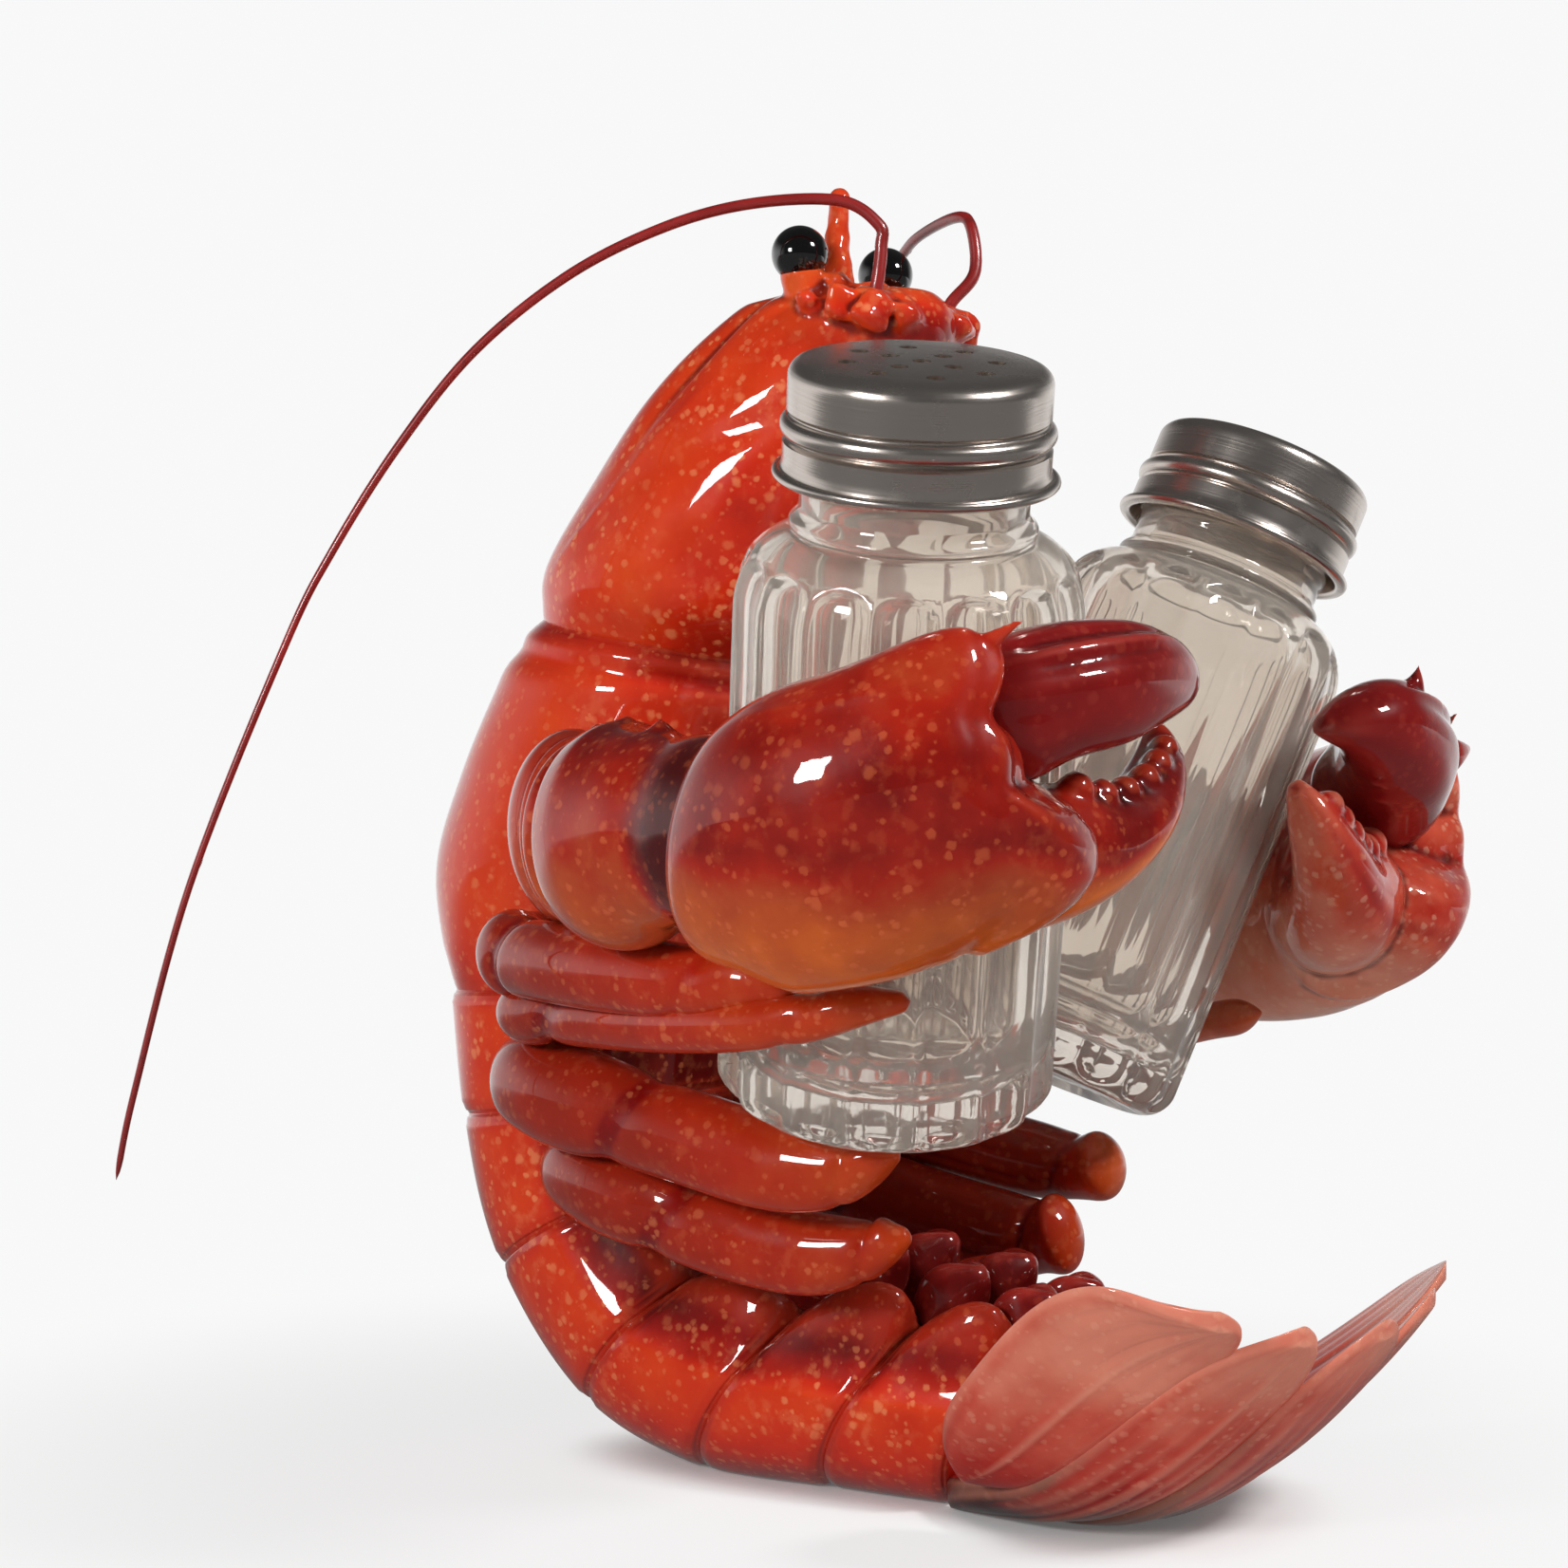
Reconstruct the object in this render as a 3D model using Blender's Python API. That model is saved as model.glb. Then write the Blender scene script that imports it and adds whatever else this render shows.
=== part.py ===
"""A resin lobster that sits on its curled tail and holds a salt shaker and a pepper shaker in its claws.

Metres, +Z up. The lobster faces -Y and its right side is -X. The origin lies on its flat underside.
Its body is a row of shells lofted along one curved spine. Each claw is lofted round the jar that it holds, in
that jar's own round coordinates, so that a wider jar opens the claw.
"""

from math import copysign, cos, pi, radians, sin, sqrt, tan

import bmesh
import bpy
import numpy as np
from mathutils import Matrix, Vector

# Clearances
SEAT_GAP = 0.0003
JAR_CLEARANCE = 0.0004
SHEET_CLEARANCE = 0.0003

# Glass jar, heights measured up its own axis from its foot
JAR_RADIUS = 0.0200
JAR_PANELS = 16
JAR_PANEL_DEPTH = 0.0006
JAR_FOOT_ROUND = 0.0040
JAR_PUNT = 0.0008
JAR_SHOULDER_START = 0.0600
JAR_SHOULDER_RISE = 0.0095
JAR_NECK_RADIUS = 0.0129
JAR_NECK_LENGTH = 0.0172
JAR_WALL = 0.0024
JAR_FLOOR = 0.0055
JAR_LIP_ROUND = 0.0008

# Steel cap
CAP_SHEET = 0.0006
CAP_HEIGHT = 0.0134
CAP_CORNER = 0.0018
CAP_TOP_BAND = 0.0056
CAP_GROOVE_DEPTH = 0.0005
CAP_BEAD = 0.0004
CAP_HEM = 0.0013
CAP_BORE_ROOM = 0.0012
POUR_HOLE_RADIUS = 0.0008
POUR_HOLE_PITCH = 0.0042
POUR_HOLE_RINGS = 2
POUR_HOLES_PER_RING = 4

# Where each jar stands and how far it leans away from the lobster and forward, in degrees
RIGHT_FOOT = (-0.0208, -0.0290, 0.0516)
RIGHT_LEAN_OUT = 14.6
RIGHT_LEAN_FRONT = 13.0
LEFT_FOOT = (0.0209, -0.0232, 0.0511)
LEFT_LEAN_OUT = 18.7
LEFT_LEAN_FRONT = 15.5

# Spine stations from head to tail: y, z, tilt of the section in degrees, half width, back depth, belly depth
SPINE = [
    (-0.0110, 0.1500, 0, 0.0090, 0.0130, 0.0120),
    (-0.0095, 0.1470, -6, 0.0125, 0.0145, 0.0150),
    (-0.0050, 0.1400, -14, 0.0155, 0.0170, 0.0170),
    (0.0010, 0.1315, -18, 0.0180, 0.0190, 0.0200),
    (0.0080, 0.1210, -18, 0.0200, 0.0200, 0.0220),
    (0.0135, 0.1130, -14, 0.0208, 0.0205, 0.0230),
    (0.0175, 0.1070, -11, 0.0190, 0.0185, 0.0210),
    (0.0220, 0.1000, -9, 0.0205, 0.0192, 0.0230),
    (0.0280, 0.0880, -4, 0.0215, 0.0200, 0.0240),
    (0.0320, 0.0760, 0, 0.0220, 0.0200, 0.0230),
    (0.0310, 0.0610, 3, 0.0208, 0.0187, 0.0190),
    (0.0295, 0.0455, 7, 0.0200, 0.0184, 0.0150),
    (0.0250, 0.0304, 28, 0.0195, 0.0180, 0.0120),
    (0.0135, 0.0175, 45, 0.0190, 0.0178, 0.0110),
    (-0.0035, 0.0130, 51, 0.0185, 0.0185, 0.0100),
    (-0.0208, 0.0125, 55, 0.0175, 0.0171, 0.0095),
    (-0.0360, 0.0120, 63, 0.0155, 0.0150, 0.0090),
]
HEAD_END = 0
NECK_GROOVE = 6
WAIST_GROOVE = 10
GROOVE_DEPTH = 0.0011
SIDE_FLAPS = (0.0, 0.0010, 0.0028, 0.0068, 0.0105, 0.0085)
SIDE_FLAP_ANGLE = 138
SIDE_FLAP_SPREAD = 14
FLAP_WIDENS = 0.3
FLAP_DEEPENS = 1.4
GROOVE_WIDTH = 0.1

# Head: rostrum, eyes and feelers
ROSTRUM_BASE = (0.0, -0.0075, 0.1460)
ROSTRUM_TIP = (0.0, -0.0087, 0.1630)
ROSTRUM_BASE_RADIUS = 0.0032
ROSTRUM_TIP_RADIUS = 0.0014
EYE_RADIUS = 0.0036
EYE_PLACE = (0.0098, -0.0093, 0.1544)
EYE_STALK_FOOT = (0.0085, -0.0098, 0.1450)
EYE_STALK_RADIUS = 0.0030
EYE_STALK_TOP_RADIUS = 0.0024
FEELER_RADIUS = 0.0007
FEELER_TIP_RADIUS = 0.0003
FEELER_SOCKET_FOOT = (0.0078, -0.0170, 0.1420)
FEELER_SOCKET_TOP = (0.0086, -0.0200, 0.1495)
FEELER_SOCKET_RADIUS = 0.0024
FEELER_SOCKET_FOOT_RADIUS = 0.0031
FEELER_HOLE_DEPTH = 0.0050
FEELER_SIDES = 6
FEELER_POINTS = 24
RIGHT_FEELER = [
    (-0.0083, -0.0205, 0.1545),
    (-0.0086, -0.0203, 0.1572),
    (-0.0112, -0.0161, 0.1602),
    (-0.0174, -0.0070, 0.1598),
    (-0.0234, 0.0019, 0.1569),
    (-0.0300, 0.0117, 0.1510),
    (-0.0365, 0.0214, 0.1416),
    (-0.0418, 0.0292, 0.1298),
    (-0.0463, 0.0360, 0.1169),
    (-0.0496, 0.0409, 0.1052),
    (-0.0562, 0.0506, 0.0758),
    (-0.0601, 0.0564, 0.0499),
    (-0.0614, 0.0583, 0.0388),
]
LEFT_FEELER = [
    (0.0110, -0.0222, 0.1537),
    (0.0120, -0.0210, 0.1600),
    (0.0135, -0.0176, 0.1616),
    (0.0200, -0.0078, 0.1610),
    (0.0260, -0.0003, 0.1590),
    (0.0320, 0.0117, 0.1535),
    (0.0375, 0.0214, 0.1430),
    (0.0423, 0.0292, 0.1305),
    (0.0465, 0.0360, 0.1172),
    (0.0496, 0.0409, 0.1052),
    (0.0562, 0.0506, 0.0758),
    (0.0601, 0.0564, 0.0499),
    (0.0614, 0.0583, 0.0388),
]

# Claws, as stations round the jar: angle from straight out towards the front in degrees, height up the jar,
# half height, half thickness, and how far the inner side stands off the glass
CLAW_PALM = [
    (-9, 0.0410, 0.0085, 0.0065, 0.0005),
    (-3, 0.0412, 0.0120, 0.0090, 0.0000),
    (7, 0.0423, 0.0150, 0.0110, 0.0000),
    (20, 0.0434, 0.0176, 0.0123, 0.0000),
    (38, 0.0456, 0.0188, 0.0125, 0.0000),
    (50, 0.0460, 0.0172, 0.0115, 0.0005),
    (60, 0.0432, 0.0130, 0.0098, 0.0010),
    (70, 0.0405, 0.0085, 0.0075, 0.0025),
    (82, 0.0402, 0.0052, 0.0055, 0.0040),
    (96, 0.0425, 0.0040, 0.0044, 0.0055),
    (107, 0.0458, 0.0028, 0.0030, 0.0065),
    (113, 0.0485, 0.0012, 0.0014, 0.0070),
]
CLAW_FINGER = [
    (48, 0.0576, 0.0043, 0.0055, 0.0020),
    (56, 0.0584, 0.0060, 0.0070, 0.0015),
    (66, 0.0587, 0.0066, 0.0072, 0.0015),
    (78, 0.0587, 0.0065, 0.0066, 0.0025),
    (90, 0.0582, 0.0057, 0.0056, 0.0038),
    (101, 0.0567, 0.0045, 0.0046, 0.0050),
    (109, 0.0542, 0.0030, 0.0032, 0.0060),
    (113, 0.0520, 0.0012, 0.0014, 0.0070),
]
CLAW_BULK = {"right": 1.0, "left": 1.14}
CLAW_DROP = {"right": 0.0, "left": 0.0045}
FINGER_GAPE = {"right": 0.0, "left": 0.0050}
TOOTH_RADIUS = 0.0018
TOOTH_ANGLES = (77, 86, 95, 103)
THORN_RADIUS = 0.0024
THORN_POINT = 0.0003
THORN_ROOT = 0.0025
THORN_LENGTH = 0.0055
THORN_SWEEP = 7
PALM_THORN_ANGLE = 50
PALM_THORN_TURN = 78

# Limbs on one side, measured outward from the middle: x, y, z, half width, half height
ARM = [
    (0.0140, 0.0160, 0.0840, 0.0060, 0.0090),
    (0.0260, 0.0120, 0.0835, 0.0070, 0.0105),
    (0.0360, 0.0060, 0.0830, 0.0080, 0.0118),
    (0.0420, 0.0000, 0.0825, 0.0070, 0.0110),
    (0.0445, -0.0030, 0.0825, 0.0030, 0.0050),
]
WRIST = [
    (0.0440, -0.0020, 0.0825, 0.0050, 0.0070),
    (0.0475, -0.0070, 0.0823, 0.0088, 0.0116),
    (0.0510, -0.0140, 0.0822, 0.0096, 0.0124),
    (0.0545, -0.0215, 0.0830, 0.0088, 0.0110),
]
WRIST_END_WIDTH = 0.0055
WRIST_END_HEIGHT = 0.0075
WRIST_THORN_LENGTH = 0.0014

# Walking legs: x, y, z, radius
LEGS = [
    [
        (0.0160, 0.0200, 0.0672, 0.0040),
        (0.0300, 0.0190, 0.0672, 0.0042),
        (0.0365, 0.0130, 0.0668, 0.0043),
        (0.0440, -0.0060, 0.0660, 0.0041),
        (0.0470, -0.0220, 0.0655, 0.0034),
        (0.0460, -0.0340, 0.0650, 0.0012),
    ],
    [
        (0.0160, 0.0230, 0.0590, 0.0030),
        (0.0280, 0.0200, 0.0590, 0.0033),
        (0.0335, 0.0130, 0.0588, 0.0035),
        (0.0415, -0.0080, 0.0582, 0.0034),
        (0.0460, -0.0260, 0.0590, 0.0031),
        (0.0460, -0.0380, 0.0608, 0.0025),
        (0.0430, -0.0470, 0.0630, 0.0010),
    ],
    [
        (0.0150, 0.0260, 0.0485, 0.0048),
        (0.0240, 0.0230, 0.0482, 0.0052),
        (0.0285, 0.0140, 0.0470, 0.0055),
        (0.0305, -0.0040, 0.0452, 0.0055),
        (0.0310, -0.0200, 0.0450, 0.0053),
        (0.0305, -0.0290, 0.0442, 0.0043),
        (0.0290, -0.0350, 0.0434, 0.0016),
    ],
    [
        (0.0130, 0.0200, 0.0378, 0.0042),
        (0.0200, 0.0190, 0.0376, 0.0045),
        (0.0240, 0.0100, 0.0366, 0.0048),
        (0.0250, -0.0060, 0.0342, 0.0048),
        (0.0240, -0.0200, 0.0330, 0.0044),
        (0.0220, -0.0320, 0.0328, 0.0016),
    ],
]
LEG_DROPS = {"right": (0.0, 0.0, 0.0, 0.0), "left": (0.0050, 0.0065, 0.0058, 0.0048)}

# Swimmerets: x, y, z, radius
SWIMMERETS = [
    [(0.0050, -0.0120, 0.0190, 0.0028), (0.0056, -0.0170, 0.0262, 0.0040), (0.0062, -0.0225, 0.0305, 0.0024)],
    [(0.0050, -0.0245, 0.0180, 0.0028), (0.0055, -0.0290, 0.0250, 0.0040), (0.0060, -0.0340, 0.0288, 0.0024)],
    [(0.0050, -0.0345, 0.0175, 0.0026), (0.0053, -0.0390, 0.0236, 0.0036), (0.0056, -0.0440, 0.0262, 0.0022)],
]

# Tail fan: blades of one bowl that spread from under the origin, distances measured forward from it
FAN_START = 0.0310
FAN_REACH = 0.0840
FAN_BEND = 0.0460
FAN_RIM = 0.0247
FAN_CURL = 2.1
FAN_THICKNESS = 0.0046
FAN_THINNING = 0.5
FAN_SINK = 0.0008
FAN_FLAT = 0.0050
FAN_CUP_RADIUS = {"right": 0.0220, "left": 0.0900}
FAN_CUP_FADE = 0.8
FAN_CLOSE = 0.24
BLADE_SQUARE = 0.6
BLADE_ROOT = 0.30
BLADE_ROUND = 0.70
BLADE_END = 0.99

# Blades: where they start, and their middle and half angle in degrees
TELSON = (0.0310, 0.0, 10.4)
INNER_BLADE = (0.0325, 16.0, 5.3)
OUTER_BLADE = (0.0455, 28.0, 6.4)

# Facets, and where along each piece its rings lie as shares of its length
HEAD_STEPS = (0, 0.04, 0.12, 0.22, 0.34, 0.46, 0.6, 0.74, 0.88, 0.97, 1)
CARAPACE_STEPS = (0, 0.03, 0.1, 0.3, 0.5, 0.7, 0.9, 0.97, 1)
TAIL_STEPS = (0, 0.1, 0.35, 0.65, 0.9, 1)
BLADE_STEPS = (0, 0.08, 0.2, 0.4, 0.6, 0.75, 0.87, 0.95, 1)
PALM_RINGS = 17
FINGER_RINGS = 11
ARM_RINGS = 8
WRIST_RINGS = 10
LEG_RINGS = 9
PADDLE_RINGS = 5
EYE_SEGMENTS = 12
EYE_RINGS = 7
TOOTH_SEGMENTS = 6
TOOTH_RINGS = 4
CLAW_SAMPLES = 200
SPINE_SAMPLES = 60
BODY_SIDES = 22
LIMB_SIDES = 8
WRIST_SIDES = 10
PADDLE_SIDES = 6
CLAW_SIDES = 14
BLADE_SIDES = 12
CAP_SIDES = 20
PEG_SIDES = 8
THORN_SIDES = 5
HOLE_SIDES = 5
SHARP_EDGE = 50

SIDES = {"right": -1, "left": 1}


def clear_scene():
    """Removes whatever the file holds."""
    for obj in list(bpy.data.objects):
        bpy.data.objects.remove(obj, do_unlink=True)


def finish(name, colour, roughness, metallic=0.0):
    """Makes one plain surface finish."""
    material = bpy.data.materials.new(name)
    material.use_nodes = True
    shader = material.node_tree.nodes["Principled BSDF"]
    shader.inputs["Base Color"].default_value = (*colour, 1.0)
    shader.inputs["Roughness"].default_value = roughness
    shader.inputs["Metallic"].default_value = metallic
    material.diffuse_color = (*colour, 1.0)
    return material


def new_object(name, bm, material):
    """Turns a bmesh into a named object with outward faces and one finish."""
    bmesh.ops.recalc_face_normals(bm, faces=bm.faces)
    if bm.calc_volume(signed=True) < 0:
        bmesh.ops.reverse_faces(bm, faces=bm.faces)
    mesh = bpy.data.meshes.new(name)
    bm.to_mesh(mesh)
    bm.free()
    mesh.materials.append(material)
    mesh.shade_smooth()
    mesh.set_sharp_from_angle(angle=radians(SHARP_EDGE))
    obj = bpy.data.objects.new(name, mesh)
    bpy.context.scene.collection.objects.link(obj)
    return obj


def loft(name, rings, material):
    """Skins a closed body over rings of points, in triangles so that its swollen copies keep its facets."""
    bm = bmesh.new()
    loops = [[bm.verts.new(point) for point in ring] for ring in rings]
    for near, far in zip(loops, loops[1:]):
        for i in range(len(near)):
            j = (i + 1) % len(near)
            bm.faces.new((near[i], near[j], far[j], far[i]))
    for loop in (loops[0], loops[-1]):
        middle = bm.verts.new(sum((vertex.co for vertex in loop), Vector()) / len(loop))
        for i in range(len(loop)):
            bm.faces.new((loop[i], loop[(i + 1) % len(loop)], middle))
    bmesh.ops.triangulate(bm, faces=bm.faces)
    return new_object(name, bm, material)


def smooth(stations, count):
    """Samples a smooth curve that passes through every station, a row of numbers each."""
    rows = np.array(stations, float)
    rows = np.vstack([2 * rows[0] - rows[1], rows, 2 * rows[-1] - rows[-2]])
    samples = []
    for position in np.linspace(0, len(stations) - 1, count):
        k = min(int(position), len(stations) - 2)
        t = position - k
        before, start, end, after = rows[k:k + 4]
        slope = end - before
        bend = 2 * before - 5 * start + 4 * end - after
        twist = 3 * start - before - 3 * end + after
        samples.append(start + t / 2 * (slope + t * (bend + t * twist)))
    return samples


def settle(obj):
    """Bakes an object's modifiers into its mesh."""
    depsgraph = bpy.context.evaluated_depsgraph_get()
    mesh = bpy.data.meshes.new_from_object(obj.evaluated_get(depsgraph))
    obj.modifiers.clear()
    obj.data = mesh
    mesh.name = obj.name


def combine(target, helper, operation):
    """Cuts a helper shape out of an object, or joins it on, and then removes the helper."""
    modifier = target.modifiers.new(operation.lower(), "BOOLEAN")
    modifier.operation = operation
    modifier.solver = "EXACT"
    modifier.object = helper
    settle(target)
    bpy.data.objects.remove(helper, do_unlink=True)


def add(target, helper):
    combine(target, helper, "UNION")


def cut_clear(target, *neighbours):
    """Cuts an object back to one seat gap from each neighbour."""
    for neighbour in neighbours:
        copy = bpy.data.objects.new(neighbour.name + "_clearance", neighbour.data)
        copy.matrix_world = neighbour.matrix_world
        bpy.context.scene.collection.objects.link(copy)
        swell = copy.modifiers.new("clearance", "DISPLACE")
        swell.mid_level = 0.0
        swell.strength = SEAT_GAP
        combine(target, copy, "DIFFERENCE")


def tube(name, stations, count, sides, material):
    """Lofts a limb along stations of x, y, z, half width and half height."""
    rows = smooth(stations, count)
    rings = []
    for k, row in enumerate(rows):
        ahead, behind = rows[min(k + 1, count - 1)], rows[max(k - 1, 0)]
        run = Vector(ahead[:3] - behind[:3]).normalized()
        aside = run.cross(Vector((0, 0, 1))).normalized()
        upward = aside.cross(run)
        ring = []
        for i in range(sides):
            turn = 2 * pi * i / sides
            ring.append(Vector(row[:3]) + aside * row[3] * cos(turn) + upward * row[4] * sin(turn))
        rings.append(ring)
    return loft(name, rings, material)


def cone(name, base, tip, base_radius, tip_radius, sides, material):
    """Makes a tapered peg from one point to another."""
    base, tip = Vector(base), Vector(tip)
    bm = bmesh.new()
    run = tip - base
    place = Matrix.Translation((base + tip) / 2) @ run.to_track_quat("Z", "Y").to_matrix().to_4x4()
    bmesh.ops.create_cone(bm, cap_ends=True, segments=sides, radius1=base_radius, radius2=tip_radius,
                          depth=run.length, matrix=place)
    return new_object(name, bm, material)


def ball(name, centre, radius, segments, rings, material):
    """Makes a bead."""
    bm = bmesh.new()
    bmesh.ops.create_uvsphere(bm, u_segments=segments, v_segments=rings, radius=radius,
                              matrix=Matrix.Translation(centre))
    return new_object(name, bm, material)


def on_side(side, point):
    """Mirrors a point that was measured outward from the middle."""
    return Vector((SIDES[side] * point[0], *point[1:3]))


def jar_frame(side):
    """Gives a jar's turn and foot: Z runs up the jar and X leads out from the lobster."""
    foot, out, front = ((RIGHT_FOOT, RIGHT_LEAN_OUT, RIGHT_LEAN_FRONT) if side == "right"
                        else (LEFT_FOOT, LEFT_LEAN_OUT, LEFT_LEAN_FRONT))
    axis = Vector((SIDES[side] * tan(radians(out)), -tan(radians(front)), 1)).normalized()
    outward = Vector((SIDES[side], 0, 0))
    outward = (outward - axis * outward.dot(axis)).normalized()
    ahead = axis.cross(outward)
    return Matrix((outward, ahead, axis)).transposed().to_4x4(), Vector(foot)


def jar_matrix(side):
    turn, foot = jar_frame(side)
    return Matrix.Translation(foot) @ turn


def round_jar(side, angle, height, distance):
    """Gives the world point at an angle, height and distance round a jar's axis."""
    forward = -SIDES[side]
    local = Vector((distance * cos(radians(angle)), forward * distance * sin(radians(angle)), height))
    return jar_matrix(side) @ local


def clear_of_jar(side, point, radius):
    """Moves a limb's centre out past the jar's wall, or down below its foot, whichever is nearer."""
    local = jar_matrix(side).inverted() @ Vector(point)
    distance = sqrt(local.x ** 2 + local.y ** 2)
    outward = JAR_RADIUS + JAR_CLEARANCE + radius - distance
    downward = local.z + radius + JAR_CLEARANCE
    if outward <= 0 or downward <= 0:
        return Vector(point)
    if outward < downward:
        local.x *= 1 + outward / distance
        local.y *= 1 + outward / distance
    else:
        local.z -= downward
    return jar_matrix(side) @ local


def ring_of_circle(radius, height, sides):
    return [Vector((radius * cos(2 * pi * i / sides), radius * sin(2 * pi * i / sides), height))
            for i in range(sides)]


def jar_profile():
    """Lists radius, height and how strongly the panels show, up the outside and down the inside of a jar."""
    neck_foot = JAR_SHOULDER_START + JAR_SHOULDER_RISE
    rim = neck_foot + JAR_NECK_LENGTH
    bore = JAR_NECK_RADIUS - JAR_WALL
    inner = JAR_RADIUS - JAR_WALL
    profile = [(JAR_RADIUS - 2 * JAR_FOOT_ROUND, JAR_PUNT, 0), (JAR_RADIUS - JAR_FOOT_ROUND, 0, 0)]
    for turn in (30, 60, 90):
        swing = radians(turn)
        profile.append((JAR_RADIUS - JAR_FOOT_ROUND * (1 - sin(swing)),
                        JAR_FOOT_ROUND * (1 - cos(swing)), turn / 90))
    profile.append((JAR_RADIUS, JAR_SHOULDER_START, 1))
    for turn in (25, 55, 90):
        swing = radians(turn)
        profile.append((JAR_NECK_RADIUS + (JAR_RADIUS - JAR_NECK_RADIUS) * cos(swing),
                        JAR_SHOULDER_START + JAR_SHOULDER_RISE * sin(swing), cos(swing) ** 2))
    profile.append((JAR_NECK_RADIUS, rim - JAR_LIP_ROUND, 0))
    profile.append((JAR_NECK_RADIUS - JAR_LIP_ROUND, rim, 0))
    profile.append((bore + JAR_LIP_ROUND, rim, 0))
    profile.append((bore, rim - JAR_LIP_ROUND, 0))
    profile.append((bore, neck_foot, 0))
    for turn in (50, 0):
        swing = radians(turn)
        profile.append((bore + (inner - bore) * cos(swing),
                        JAR_SHOULDER_START + (JAR_SHOULDER_RISE - JAR_WALL) * sin(swing), 0))
    profile.append((inner, JAR_FLOOR + JAR_FOOT_ROUND, 0))
    profile.append((inner - JAR_FOOT_ROUND, JAR_FLOOR, 0))
    return profile


def make_jar(side, material):
    """Lofts a hollow fluted jar and stands it in its place."""
    sides = 2 * JAR_PANELS
    rings = []
    for radius, height, panels in jar_profile():
        ring = ring_of_circle(1.0, 0.0, sides)
        for i, point in enumerate(ring):
            dip = JAR_PANEL_DEPTH * panels * (i % 2)
            ring[i] = Vector((point.x * (radius - dip), point.y * (radius - dip), height))
        rings.append(ring)
    jar = loft("jar_" + side, rings, material)
    jar.matrix_world = jar_matrix(side)
    return jar


def cap_profile():
    """Lists radius and height over the outside and back up the inside of a cap."""
    bore = JAR_NECK_RADIUS + CAP_BORE_ROOM
    wall = bore + CAP_SHEET
    top = JAR_SHOULDER_START + JAR_SHOULDER_RISE + JAR_NECK_LENGTH + SHEET_CLEARANCE + CAP_SHEET
    groove = top - CAP_TOP_BAND - CAP_GROOVE_DEPTH
    mouth = top - CAP_HEIGHT
    corner = radians(45)
    return [
        (wall - CAP_CORNER, top),
        (wall - CAP_CORNER * (1 - sin(corner)), top - CAP_CORNER * (1 - cos(corner))),
        (wall, top - CAP_CORNER),
        (wall, top - CAP_TOP_BAND),
        (wall - CAP_GROOVE_DEPTH, groove),
        (wall + CAP_BEAD, groove - 2 * CAP_BEAD),
        (wall + CAP_BEAD, mouth + 2 * CAP_HEM),
        (wall + CAP_HEM, mouth + CAP_HEM),
        (wall + CAP_HEM, mouth + CAP_HEM / 3),
        (wall + CAP_HEM / 2, mouth),
        (wall, mouth + CAP_HEM / 3),
        (bore, mouth + 2 * CAP_HEM),
        (bore - CAP_GROOVE_DEPTH, groove),
        (bore - CAP_GROOVE_DEPTH, top - CAP_CORNER),
        (wall - CAP_CORNER, top - CAP_SHEET),
    ]


def pour_holes():
    """Gives one hole at the middle of the cap and rings of holes about it, each with more than the last."""
    places = [(0.0, 0.0)]
    for ring in range(1, POUR_HOLE_RINGS + 1):
        count = POUR_HOLES_PER_RING * ring
        for i in range(count):
            turn = 2 * pi * i / count
            places.append((ring * POUR_HOLE_PITCH * cos(turn), ring * POUR_HOLE_PITCH * sin(turn)))
    return places


def make_cap(side, jar, material):
    """Lofts a thin cap over the jar's neck and drills its pour holes."""
    profile = cap_profile()
    rings = [ring_of_circle(radius, height, CAP_SIDES) for radius, height in profile]
    cap = loft("cap_" + side, rings, material)
    top = profile[0][1]
    drill = bmesh.new()
    for x, y in pour_holes():
        bmesh.ops.create_cone(drill, cap_ends=True, segments=HOLE_SIDES, radius1=POUR_HOLE_RADIUS,
                              radius2=POUR_HOLE_RADIUS, depth=4 * CAP_SHEET,
                              matrix=Matrix.Translation((x, y, top)))
    combine(cap, new_object("pour_hole_drill_" + side, drill, material), "DIFFERENCE")
    cap.parent = jar
    return cap


def spine_ring(row, scale, flap, push):
    """Gives one section of the body: a domed back, a flatter belly and two side flaps."""
    y, z, tilt, half_width, back, belly = row
    dorsal = Vector((0, cos(radians(tilt)), -sin(radians(tilt))))
    along = Vector((0, -sin(radians(tilt)), -cos(radians(tilt))))
    middle = Vector((0, y, z)) + along * push
    ring = []
    for i in range(BODY_SIDES):
        turn = 2 * pi * (i + 0.5) / BODY_SIDES
        from_flap = (abs(turn - 2 * pi * (turn > pi)) - radians(SIDE_FLAP_ANGLE)) / radians(SIDE_FLAP_SPREAD)
        grow = flap * 2.0 ** (-from_flap ** 2)
        across = (half_width * scale + FLAP_WIDENS * grow) * sin(turn)
        rise = ((back if cos(turn) > 0 else belly) * scale + FLAP_DEEPENS * grow) * cos(turn)
        if dorsal.z < 0:
            rise = min(rise, middle.z / -dorsal.z)
        ring.append(middle + Vector((across, 0, 0)) + dorsal * rise)
    return ring


def body_shell(name, first, last, steps, material, flap=0.0):
    """Lofts one shell of the body between two grooves, drawn in where it meets its neighbours."""
    span = last - first
    rows = smooth(SPINE, (len(SPINE) - 1) * SPINE_SAMPLES + 1)
    rings = []
    for step in steps:
        row = rows[round((first + step * span) * SPINE_SAMPLES)]
        from_edge = min(1.0, step / GROOVE_WIDTH, (1 - step) / GROOVE_WIDTH)
        scale = 1 - GROOVE_DEPTH * (1 - sqrt(from_edge)) / row[3]
        push = SEAT_GAP * (0.5 - step)
        rings.append(spine_ring(row, scale, flap * sqrt(sin(pi * step)), push))
    return loft(name, rings, material)


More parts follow.
